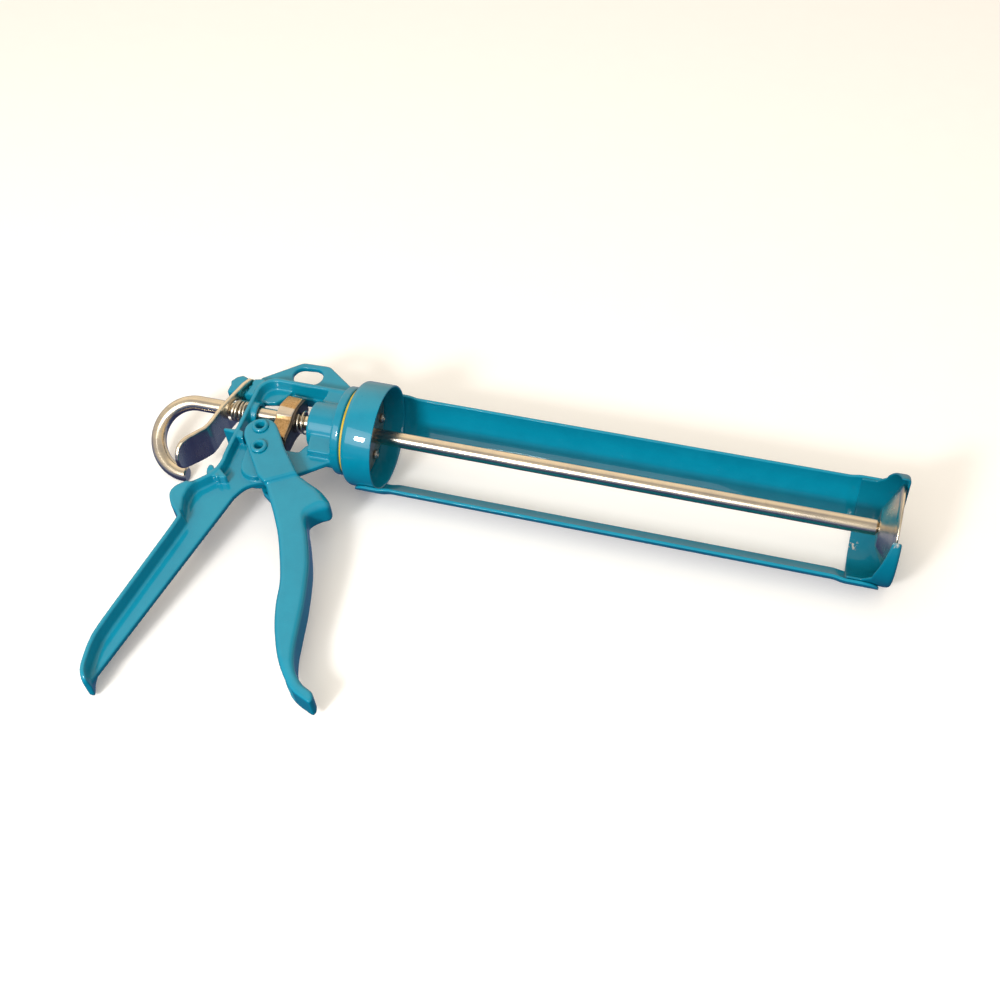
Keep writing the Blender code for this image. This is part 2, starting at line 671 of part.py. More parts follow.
def main():
    clear_scene()
    make_collections()
    make_materials()
    make_pivot("gun")
    make_pivot("cradle_axis")
    make_pivot("rod_axis")
    make_pivot("plunger_axis")
    make_pivot("drive_axis")
    make_pivot("trigger_pivot", *PIVOT)
    make_pivot("release_pivot", *RELEASE_PIVOT)
    make_casting()
    make_swivel()
    make_rivets()
    make_cup()
    make_rail("rail_upper", CRADLE_TURN + RAIL_OFFSET)
    make_rail("rail_lower", CRADLE_TURN - RAIL_OFFSET)
    make_front_ring()
    make_trigger()
    make_drive()
    make_springs()
    make_release_plate()
    make_piston()
    make_rod()
    lay_down()


main()
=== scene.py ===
"""Caulking gun lying on its side: its looks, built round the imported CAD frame.

Shapes are drawn in the gun's own frame, in millimetres: X runs along the push rod to the nozzle, Y to
the far side, Z up from the handle, with zero on the rod's axis at the front rim of the cradle's cup.
"""

import math

import bmesh
import bpy
import numpy as np
from mathutils import Matrix, Vector


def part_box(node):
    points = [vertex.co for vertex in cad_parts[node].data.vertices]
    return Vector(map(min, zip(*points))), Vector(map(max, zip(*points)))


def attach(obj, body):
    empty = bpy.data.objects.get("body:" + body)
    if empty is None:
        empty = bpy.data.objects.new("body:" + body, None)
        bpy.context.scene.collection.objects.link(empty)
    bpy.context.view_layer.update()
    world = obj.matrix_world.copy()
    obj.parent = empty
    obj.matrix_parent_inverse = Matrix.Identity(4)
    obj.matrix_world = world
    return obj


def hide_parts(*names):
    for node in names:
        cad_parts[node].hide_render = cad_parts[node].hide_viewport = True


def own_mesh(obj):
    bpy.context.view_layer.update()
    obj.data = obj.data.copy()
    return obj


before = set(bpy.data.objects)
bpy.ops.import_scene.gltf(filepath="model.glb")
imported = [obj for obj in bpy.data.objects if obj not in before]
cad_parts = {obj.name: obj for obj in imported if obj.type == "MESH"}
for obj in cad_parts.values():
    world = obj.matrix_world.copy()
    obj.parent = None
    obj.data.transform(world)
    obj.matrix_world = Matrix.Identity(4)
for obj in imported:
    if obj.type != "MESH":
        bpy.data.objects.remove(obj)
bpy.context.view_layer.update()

MM = 0.001
LEAN = 6.27
WASHER_X = 248.3

# Sizes that are shared by several pieces
GAP = 0.3
ROD_R = 4.0
CUP_R = 27.2
CRADLE_TURN = 10.5
PIVOT = (-58.1, -27.6)
PUSHER = (-62.3, -15.0)
FLANGE_T = 3.0
FRONT_X = 256.6
RING_BACK_X = 235.6
SPIGOT_R = 21.6
FLANGE_R = 23.0
RAIL_OFFSET = 57.5
RIVETS = 6
RIVET_HOLE_R = 3.5
BLOCK_X = (-58.7, -50.0)
PLATE_X = (-49.9, -48.6)
PISTON_BACK_X = 246.3

# The camera in the gun's frame
CAMERA_PLACE = (203.5, -527.1, -397.9)
CAMERA_RIGHT = (0.96114, 0.05834, 0.26983)
CAMERA_UP = (-0.18258, -0.59880, 0.77981)
CAMERA_LENS = 48.366

# What the lights point at, in metres in the gun's frame
LIGHT_TARGET = (0.06, 0.0, -0.03)


def gun_matrix():
    """Where the gun's frame lies in the row frame, found from the washer on the rod's axis."""
    turn = Matrix.Rotation(-math.radians(90.0 - LEAN), 4, "X")
    low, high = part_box("piston_washer")
    place = (low + high) / 2 - turn.to_3x3() @ Vector((WASHER_X * MM, 0.0, 0.0))
    return Matrix.Translation(place) @ turn


GUN = gun_matrix()
GUN_ARRAY = np.array(GUN)


def to_world(points):
    points = np.asarray(points, float) * MM
    return points @ GUN_ARRAY[:3, :3].T + GUN_ARRAY[:3, 3]


# ---- Outlines


def smooth(points, per_span=6):
    """A curve through the points, as a list of closely spaced points."""
    padded = [points[0], *points, points[-1]]
    result = []
    for a, b, c, d in zip(padded, padded[1:], padded[2:], padded[3:]):
        for step in range(per_span):
            t = step / per_span
            result.append(tuple(
                0.5 * (2 * q + (r - p) * t + (2 * p - 5 * q + 4 * r - s) * t * t
                       + (3 * q - p - 3 * r + s) * t ** 3)
                for p, q, r, s in zip(a, b, c, d)
            ))
    result.append(points[-1])
    return result


def arc(centre, radius, start, end, count=10):
    angles = [math.radians(start + (end - start) * i / count) for i in range(count + 1)]
    return [(centre[0] + radius * math.cos(a), centre[1] + radius * math.sin(a)) for a in angles]


def offset(path, distance):
    """The path moved sideways: to its left for a positive distance."""
    result = []
    for i, point in enumerate(path):
        before, after = path[max(i - 1, 0)], path[min(i + 1, len(path) - 1)]
        dx, dz = after[0] - before[0], after[1] - before[1]
        length = math.hypot(dx, dz)
        result.append((point[0] - dz / length * distance, point[1] + dx / length * distance))
    return result


def ribbon(path, thickness):
    """The outline of a strip: the path is one side, and the other lies to its left."""
    return path + offset(path, thickness)[::-1]


def rounded_bar(a, b, radius, count=12):
    angle = math.degrees(math.atan2(b[1] - a[1], b[0] - a[0]))
    return arc(b, radius, angle - 90, angle + 90, count) + arc(a, radius, angle + 90, angle + 270, count)


def round_corners(points, radius, count=4, closed=True):
    """The outline with each corner rounded. A radius may be given for each point."""
    result = []
    total = len(points)
    radii = radius if isinstance(radius, (list, tuple)) else [radius] * total
    for i, point in enumerate(points):
        corner = Vector(point)
        a, b = Vector(points[i - 1]) - corner, Vector(points[(i + 1) % total]) - corner
        at_end = not closed and i in (0, total - 1)
        sharp = at_end or radii[i] <= 0.0 or min(a.length, b.length) < 1e-6
        if sharp or not 0.02 <= a.angle(b) <= math.radians(178.0):
            result.append(tuple(point))
            continue
        reach = min(radii[i] / math.tan(a.angle(b) / 2), a.length * 0.48, b.length * 0.48)
        p, q = corner + a.normalized() * reach, corner + b.normalized() * reach
        for step in range(count + 1):
            t = step / count
            result.append(tuple(p * (1 - t) ** 2 + corner * (2 * t * (1 - t)) + q * t ** 2))
    return result


# ---- Solids as distance fields, in millimetres


def polygon_field(points, u, v):
    """Signed distance to an outline, negative inside."""
    pts = np.asarray(points, float)
    u, v = np.broadcast_arrays(u, v)
    best = np.full(u.shape, 1e9, np.float32)
    inside = np.zeros(u.shape, bool)
    for (ax, az), (bx, bz) in zip(pts, np.roll(pts, -1, axis=0)):
        ex, ez = bx - ax, bz - az
        length2 = ex * ex + ez * ez
        if length2 < 1e-12:
            continue
        wx, wz = u - ax, v - az
        t = np.clip((wx * ex + wz * ez) / length2, 0.0, 1.0)
        dx, dz = wx - ex * t, wz - ez * t
        np.minimum(best, dx * dx + dz * dz, out=best)
        if az != bz:
            crossing = (az > v) != (bz > v)
            inside ^= crossing & (u < (v - az) * ex / ez + ax)
    return np.where(inside, -np.sqrt(best), np.sqrt(best))


def meet(a, b, r):
    """Where both fields are inside, with the edge between them rounded by r."""
    a, b = a + r, b + r
    return np.minimum(np.maximum(a, b), 0.0) + np.hypot(np.maximum(a, 0.0), np.maximum(b, 0.0)) - r


def unite(a, b, k=0.0):
    if k <= 0.0:
        return np.minimum(a, b)
    h = np.maximum(k - np.abs(a - b), 0.0)
    return np.minimum(a, b) - h * h / (4 * k)


def carve(a, b, k=0.0):
    return -unite(-a, b, k)


def slab(v, low, high):
    return np.maximum(low - v, v - high)


class Grid:
    """A box of sample points in the gun's frame."""

    def __init__(self, low, high, step):
        self.low, self.step = np.array(low, float) - 2 * step, step
        counts = np.ceil((np.array(high, float) - self.low) / step).astype(int) + 3
        axes = [(self.low[i] + step * np.arange(counts[i])).astype(np.float32) for i in range(3)]
        self.x = axes[0][:, None, None]
        self.y = axes[1][None, :, None]
        self.z = axes[2][None, None, :]

    def side(self, outline, low, high, r=0.8, scale_y=1.0):
        """An outline in XZ carried along Y."""
        flat = polygon_field(outline, self.x, self.z)
        return meet(flat, slab(self.y * scale_y, low, high), r)

    def strip(self, path, middle_t, edge_t, half, r):
        """A strip on edge along a path in XZ, thinner at its edges than at its middle."""
        middle, edge = (polygon_field(ribbon(path, t), self.x, self.z) for t in (middle_t, edge_t))
        share = np.minimum(np.abs(self.y) / half, 1.0)
        return meet(middle * (1 - share) + edge * share, slab(self.y, -half, half), r)

    def end(self, outline, low, high, r=0.5):
        """An outline in YZ carried along X."""
        flat = polygon_field(outline, self.y, self.z)
        return meet(flat, slab(self.x, low, high), r)

    def bar_x(self, radius, low, high, centre=(0.0, 0.0), r=0.0):
        return meet(np.hypot(self.y - centre[0], self.z - centre[1]) - radius, slab(self.x, low, high), r)

    def bar_y(self, radius, low, high, centre, r=0.0):
        return meet(np.hypot(self.x - centre[0], self.z - centre[1]) - radius, slab(self.y, low, high), r)

    def block(self, low, high, r=0.5):
        dx, dy, dz = (slab(v, a, b) + r for v, a, b in zip((self.x, self.y, self.z), low, high))
        outer = np.sqrt(np.maximum(dx, 0) ** 2 + np.maximum(dy, 0) ** 2 + np.maximum(dz, 0) ** 2)
        return outer + np.minimum(np.maximum(np.maximum(dx, dy), dz), 0.0) - r

    def turned(self, profile):
        """A closed outline (x, radius) turned about the rod's axis."""
        return polygon_field(profile, self.x, np.hypot(self.y, self.z))


CORNERS = [(i, j, k) for i in (0, 1) for j in (0, 1) for k in (0, 1)]
EDGES = [(a, b) for a in range(8) for b in range(a + 1, 8) if bin(a ^ b).count("1") == 1]


def sample(field, place):
    """Trilinear samples of a field at places given in grid steps."""
    base = np.clip(np.floor(place).astype(int), 0, np.array(field.shape) - 2)
    t = place - base
    value = 0.0
    for i, j, k in CORNERS:
        weights = [t[:, n] if high else 1 - t[:, n] for n, high in enumerate((i, j, k))]
        corner = field[base[:, 0] + i, base[:, 1] + j, base[:, 2] + k]
        value = value + weights[0] * weights[1] * weights[2] * corner
    return value


def surface(grid, field):
    """Vertices, quads and normals of the field's zero level."""
    field = np.broadcast_to(field, (grid.x.size, grid.y.size, grid.z.size)).copy()
    inside = field < 0.0
    nx, ny, nz = (size - 1 for size in inside.shape)
    count = sum(inside[i:nx + i, j:ny + j, k:nz + k].astype(np.int8) for i, j, k in CORNERS)
    mixed = (count > 0) & (count < 8)
    cells = np.argwhere(mixed)
    index = np.full(mixed.shape, -1)
    index[mixed] = np.arange(len(cells))
    values = np.stack([field[cells[:, 0] + i, cells[:, 1] + j, cells[:, 2] + k] for i, j, k in CORNERS], 1)
    total, hits = np.zeros((len(cells), 3)), np.zeros(len(cells))
    corners = np.array(CORNERS, float)
    for a, b in EDGES:
        va, vb = values[:, a], values[:, b]
        crosses = (va < 0) != (vb < 0)
        t = np.where(crosses, va / np.where(crosses, va - vb, 1.0), 0.0)
        total += np.where(crosses[:, None], corners[a] + t[:, None] * (corners[b] - corners[a]), 0.0)
        hits += crosses
    place = cells + total / hits[:, None]
    gradient = np.gradient(field)
    for _ in range(2):
        slope = np.stack([sample(g, place) for g in gradient], 1)
        move = sample(field, place)[:, None] * slope / np.maximum((slope ** 2).sum(1), 1e-9)[:, None]
        length = np.linalg.norm(move, axis=1)[:, None]
        place = place - move * np.minimum(1.0, 0.35 / np.maximum(length, 1e-9))
    slope = np.stack([sample(g, place) for g in gradient], 1)
    normals = slope / np.maximum(np.linalg.norm(slope, axis=1), 1e-9)[:, None]
    quads = []
    for axis, (u, v) in enumerate(((1, 2), (2, 0), (0, 1))):
        near, far = [slice(1, -1)] * 3, [slice(1, -1)] * 3
        near[axis], far[axis] = slice(0, -1), slice(1, None)
        leaving = inside[tuple(near)] & ~inside[tuple(far)]
        entering = ~inside[tuple(near)] & inside[tuple(far)]
        for crossing, order in ((leaving, (0, 1, 2, 3)), (entering, (3, 2, 1, 0))):
            edge = np.argwhere(crossing)
            ring = []
            for step in ((0, 0), (1, 0), (1, 1), (0, 1)):
                cell = edge.copy()
                cell[:, (u, v)] += step
                ring.append(index[tuple(cell.T)])
            quads.append(np.stack([ring[i] for i in order], 1))
    return grid.low + grid.step * place, np.concatenate(quads), normals


# ---- Pieces


def make_piece(node, body, material, vertices, faces, normals=None, sharp=35.0):
    """A mesh that rides on a body and stands for a CAD node."""
    name = f"{node}_look"
    mesh = bpy.data.meshes.new(name)
    mesh.from_pydata(to_world(vertices).tolist(), [], [list(face) for face in faces])
    ob = bpy.data.objects.new(name, mesh)
    bpy.context.scene.collection.objects.link(ob)
    if normals is None:
        bm = bmesh.new()
        bm.from_mesh(mesh)
        bmesh.ops.remove_doubles(bm, verts=bm.verts, dist=0.000002)
        bmesh.ops.dissolve_degenerate(bm, edges=bm.edges, dist=0.000001)
        bmesh.ops.recalc_face_normals(bm, faces=bm.faces)
        bm.to_mesh(mesh)
        bm.free()
    mesh.shade_smooth()
    if normals is None:
        mesh.set_sharp_from_angle(angle=math.radians(sharp))
    else:
        mesh.normals_split_custom_set_from_vertices((normals @ GUN_ARRAY[:3, :3].T).tolist())
    mesh.materials.append(material)
    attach(ob, body)
    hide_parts(node)
    return ob


def moulded(node, body, material, grid, field):
    vertices, quads, normals = surface(grid, field)
    make_piece(node, body, material, vertices, quads.tolist(), normals)


def loops(count, size, closed=True):
    """Faces between rings of vertices that are numbered ring by ring."""
    faces = []
    for i in range(count if closed else count - 1):
        a, b = i * size, (i + 1) % count * size
        for j in range(size):
            k = (j + 1) % size
            faces.append((a + j, a + k, b + k, b + j))
    return faces


def capped(count, size):
    """Faces of a bar: its rings, and a fan at each end to one of two vertices that follow them."""
    faces = loops(count, size, closed=False)
    ends = count * size
    for j in range(size):
        k = (j + 1) % size
        faces += [(ends, k, j), (ends + 1, ends - size + j, ends - size + k)]
    return faces


def turned(node, body, material, profile, steps=112, centre=(0.0, 0.0, 0.0), axis="X", sharp=35.0):
    """A closed outline (along, radius) turned about an axis through the centre."""
    along, radius = np.array(profile, float).T
    vertices = []
    for i in range(steps):
        angle = 2 * math.pi * i / steps
        c, s = radius * math.cos(angle), radius * math.sin(angle)
        ring = np.stack([along, c, s] if axis == "X" else [c, along, s], 1)
        vertices.append(ring + np.array(centre))
    make_piece(node, body, material, np.concatenate(vertices), loops(steps, len(profile)), sharp=sharp)


def sweep(path, radii, sides=40):
    """Vertices and faces of a round bar along a path of 3D points, with a radius for each."""
    path = np.array(path, float)
    tangents = np.gradient(path, axis=0)
    tangents /= np.linalg.norm(tangents, axis=1)[:, None]
    side = np.cross(tangents[0], (0.31, 0.74, -0.6))
    vertices = []
    for point, tangent, radius in zip(path, tangents, radii):
        side = side - tangent * side.dot(tangent)
        side /= np.linalg.norm(side)
        other = np.cross(tangent, side)
        angle = np.linspace(0.0, 2 * math.pi, sides, endpoint=False)[:, None]
        vertices.append(point + radius * (np.cos(angle) * side + np.sin(angle) * other))
    vertices.append(path[[0, -1]])
    return np.concatenate(vertices), capped(len(path), sides)


# ---- Materials


class Nodes:
    """Helpers that add nodes to a tree and link them."""

    def __init__(self, tree, coordinates):
        self.nodes, self.links = tree.nodes, tree.links
        self.place = self.nodes.new("ShaderNodeTexCoord").outputs[coordinates]

    def feed(self, socket, value):
        if isinstance(value, bpy.types.NodeSocket):
            self.links.new(value, socket)
        else:
            socket.default_value = value

    def add(self, kind, output, **inputs):
        """A new node with its inputs fed by name. The result is one of its outputs."""
        node = self.nodes.new(f"ShaderNode{kind}")
        for name, value in inputs.items():
            self.feed(node.inputs[name.replace("_", " ")], value)
        return node.outputs[output]

    def ramp(self, value, *stops):
        """A colour ramp from (position, colour or grey) stops."""
        output = self.add("ValToRGB", "Color", Fac=value)
        elements = output.node.color_ramp.elements
        while len(elements) < len(stops):
            elements.new(0.5)
        for element, (position, color) in zip(elements, stops):
            element.position = position
            element.color = (*color, 1.0) if isinstance(color, tuple) else (color, color, color, 1.0)
        return output

    def mix(self, factor, a, b, blend="MIX"):
        node = self.nodes.new("ShaderNodeMix")
        node.data_type = "RGBA"
        node.blend_type = blend
        self.feed(node.inputs["Factor"], factor)
        for socket, value in ((node.inputs[6], a), (node.inputs[7], b)):
            self.feed(socket, (*value, 1.0) if isinstance(value, tuple) else value)
        return node.outputs[2]

    def maths(self, operation, *values):
        node = self.nodes.new("ShaderNodeMath")
        node.operation = operation
        for socket, value in zip(node.inputs, values):
            self.feed(socket, value)
        return node.outputs["Value"]

    def compare(self, operation, point):
        """The coordinates' distance to a point, or their dot product with a direction."""
        node = self.nodes.new("ShaderNodeVectorMath")
        node.operation = operation
        self.links.new(self.place, node.inputs[0])
        node.inputs[1].default_value = point
        return node.outputs["Value"]

    def band(self, value, zero, one, kind="LINEAR"):
        """A value brought to the range from nothing to one between two limits."""
        output = self.add("MapRange", "Result", Value=value, From_Min=zero, From_Max=one)
        output.node.interpolation_type = kind
        return output


class Look(Nodes):
    """A node material: a Principled shader and what feeds it."""

    def __init__(self, name, color, metallic, roughness):
        self.material = bpy.data.materials.new(name)
        self.material.use_nodes = True
        super().__init__(self.material.node_tree, "Object")
        self.shader = self.nodes["Principled BSDF"]
        self.material.diffuse_color = (*color, 1.0)
        self.set(Base_Color=(*color, 1.0), Metallic=metallic, Roughness=roughness)

    def set(self, **values):
        for name, value in values.items():
            self.feed(self.shader.inputs[name.replace("_", " ")], value)

    def scaled(self, scale):
        """Object coordinates stretched by a scale for each axis."""
        return self.add("Mapping", "Vector", Vector=self.place, Scale=scale)

    def noise(self, scale, detail=3.0, rough=0.55, vector=None, distort=0.0):
        return self.add("TexNoise", "Fac", Vector=vector or self.place, Scale=scale, Detail=detail,
                        Roughness=rough, Distortion=distort)

    def patches(self, low, high, *noise, distort=0.0):
        """Noise brought to nothing at one level and to one at another."""
        return self.ramp(self.noise(*noise, distort=distort), (low, 0.0), (high, 1.0))

    def pointiness(self):
        return self.add("NewGeometry", "Pointiness")

    def tint(self, base, color, share, mask, *masks):
        """The base with a share of a colour laid over it where every mask is bright."""
        for other in (*masks, share):
            mask = self.maths("MULTIPLY", mask, other)
        return self.mix(mask, base, color)

    def near(self, point, inner, outer):
        """One within a few millimetres of a point of the gun, fading to nothing."""
        return self.band(self.compare("DISTANCE", GUN @ (Vector(point) * MM)), outer * MM, inner * MM)

    def along(self, axis):
        """Metres along an axis of the gun, from its origin."""
        direction = GUN.to_3x3() @ Vector(axis)
        return self.maths("SUBTRACT", self.compare("DOT_PRODUCT", direction), direction.dot(GUN.translation))

    def bump(self, *layers):
        """Layers of (height, distance in millimetres, strength)."""
        below = {}
        for height, distance, strength in layers:
            values = {"Height": height, "Distance": distance * MM, "Strength": strength, **below}
            below = {"Normal": self.add("Bump", "Normal", **values)}
        self.set(**below)


def enamel(name, cast=0.0, chips_and_painted_glints=(), gloss=0.9, painted_light_factor=1.0):
    """Glossy teal paint with faint mottling, pale specks, worn edges and painted shade in the corners; a
    factor other than one makes it all darker as painted shade or lighter as painted light, and pale flecks at
    given spots are partly chips and partly painted highlight.
    """
    look = Look(name, (0.0, 0.237, 0.375), 0.0, 0.34)
    look.set(Coat_Weight=gloss, Coat_Roughness=0.03, Coat_IOR=1.5, Specular_IOR_Level=0.12)
    base = look.ramp(
        look.noise(55.0, 4.0, 0.6), (0.30, (0.0, 0.212, 0.335)), (0.55, (0.001, 0.234, 0.365)),
        (0.80, (0.002, 0.255, 0.386)),
    )
    mottle = look.patches(0.35, 0.75, 420.0, 5.0, 0.65, distort=0.4)
    base = look.tint(base, (0.004, 0.293, 0.425), 0.14, mottle)
    cells = look.add("TexVoronoi", "Distance", Vector=look.place, Scale=1300.0)
    dust = look.ramp(cells, (0.05, 1.0), (0.13, 0.0))
    base = look.tint(base, (0.35, 0.55, 0.60), 0.35, dust, look.patches(0.62, 0.70, 160.0, 2.0))
    point = look.pointiness()
    # Hollows darkened by pointiness: painted shade.
    base = look.tint(base, (0.0, 0.070, 0.115), 0.5, look.ramp(point, (0.36, 1.0), (0.47, 0.0)))
    edge = look.ramp(point, (0.545, 0.0), (0.64, 1.0))
    base = look.tint(base, (0.16, 0.33, 0.37), 0.30, edge, look.patches(0.50, 0.64, 300.0, 4.0, 0.7))
    # A factor other than one multiplies the whole paint: painted shade below one, painted light above one.
    if painted_light_factor != 1.0:
        base = look.mix(1.0, base, (painted_light_factor, painted_light_factor, painted_light_factor), "MULTIPLY")
    # Pale flecks at given spots: partly paint chips, partly painted highlight.
    for number, (place, size) in enumerate(chips_and_painted_glints):
        fleck_pattern = look.patches(0.53, 0.56, 620.0 + 90.0 * number, 3.0, 0.6, distort=0.5)
        base = look.mix(
            look.maths("MULTIPLY", look.near(place, size * 0.5, size), fleck_pattern), base, (0.52, 0.50, 0.46)
        )
    look.set(Base_Color=base, Roughness=look.ramp(look.noise(160.0, 4.0, 0.6), (0.25, 0.27), (0.75, 0.42)))
    look.bump(
        (look.noise(75.0, 2.0, 0.5), 0.30 + cast, 0.14), (look.noise(520.0, 3.0, 0.5), 0.05, 0.22),
        (look.noise(1700.0, 2.0, 0.5), 0.015, 0.2),
    )
    return look.material


def zinc(name, stretch=(12.0, 420.0, 420.0), rough=(0.13, 0.27)):
    """Bright zinc plate with a warm passivated tint, drawn lines along it and fine scratches."""
    look = Look(name, (0.80, 0.74, 0.63), 1.0, 0.2)
    lines = look.noise(1.0, 4.0, 0.6, vector=look.scaled(stretch))
    patches = look.noise(70.0, 4.0, 0.6)
    base = look.ramp(
        patches, (0.28, (0.68, 0.62, 0.54)), (0.5, (0.80, 0.72, 0.585)), (0.74, (0.85, 0.75, 0.575)),
    )
    base = look.tint(base, (0.50, 0.48, 0.47), 0.32, look.ramp(lines, (0.40, 1.0), (0.56, 0.0)))
    base = look.tint(base, (0.36, 0.31, 0.26), 0.30, look.patches(0.60, 0.76, 210.0, 5.0, 0.7))
    shine = look.ramp(look.mix(0.5, lines, patches), (0.30, rough[0]), (0.72, rough[1]))
    look.set(Base_Color=base, Roughness=shine)
    fine = look.noise(1.0, 2.0, 0.5, vector=look.scaled(tuple(v * 3.1 for v in stretch)))
    look.bump((lines, 0.03, 0.22), (fine, 0.012, 0.25), (look.noise(140.0, 2.0), 0.12, 0.10))
    return look.material


def bronze(name):
    """Sintered bronze-coloured block: speckled, with a painted highlight on its ridges and a silvery band
    painted as a highlight along its widest corner.
    """
    look = Look(name, (0.40, 0.26, 0.13), 1.0, 0.36)
    grain = look.noise(900.0, 4.0, 0.7)
    base = look.ramp(
        grain, (0.30, (0.34, 0.21, 0.095)), (0.52, (0.58, 0.38, 0.185)), (0.76, (0.70, 0.50, 0.28)),
    )
    base = look.mix(look.ramp(look.noise(110.0, 3.0), (0.52, 0.0), (0.72, 0.5)), base, (0.30, 0.19, 0.09))
    # Convex ridges painted brighter: a painted highlight.
    base = look.mix(look.ramp(look.pointiness(), (0.515, 0.0), (0.56, 0.8)), base, (0.86, 0.80, 0.70))
    # A silvery band along the block's widest corner, placed by position: a painted highlight.
    across = look.maths("ABSOLUTE", look.along((0.0, 1.0, 0.0)))
    up = look.along((0.0, 0.0, 1.0))
    highlight_band_limits = [(up, -4.4, -3.4), (up, 1.9, 1.2), (across, 7.4, 7.7)]
    highlight_bands = [look.band(value, zero * MM, one * MM) for value, zero, one in highlight_band_limits]
    base = look.tint(base, (0.72, 0.69, 0.65), 0.85, *highlight_bands)
    look.set(Base_Color=base, Roughness=look.ramp(look.noise(240.0, 3.0), (0.3, 0.26), (0.7, 0.42)))
    look.bump((grain, 0.02, 0.25), (look.noise(150.0, 2.0), 0.1, 0.15))
    return look.material


def steel(name, light, dark, rough):
    """Plain pressed steel with brown tarnish."""
    look = Look(name, light, 1.0, 0.4)
    base = look.ramp(look.noise(150.0, 5.0, 0.65, distort=0.6), (0.34, dark), (0.68, light))
    base = look.tint(base, (0.66, 0.60, 0.52), 0.7, look.ramp(look.pointiness(), (0.54, 0.0), (0.64, 1.0)))
    shine = look.ramp(look.noise(300.0, 4.0), (0.3, rough[0]), (0.7, rough[1]))
    look.set(Base_Color=base, Roughness=shine)
    look.bump((look.noise(700.0, 4.0, 0.6), 0.03, 0.3), (look.noise(90.0, 2.0), 0.15, 0.15))
    return look.material


def plastic(name):
    """Yellow moulded plastic, a little scuffed and greasy."""
    look = Look(name, (0.74, 0.52, 0.02), 0.0, 0.42)
    base = look.ramp(look.noise(180.0, 4.0, 0.6), (0.30, (0.42, 0.28, 0.012)), (0.62, (0.66, 0.47, 0.02)))
    base = look.tint(base, (0.22, 0.14, 0.02), 0.4, look.patches(0.58, 0.75, 500.0, 3.0))
    look.set(Base_Color=base, Roughness=look.ramp(look.noise(260.0, 2.0), (0.3, 0.34), (0.7, 0.52)))
    look.bump((look.noise(800.0, 2.0), 0.03, 0.25))
    return look.material


# ---- The casting


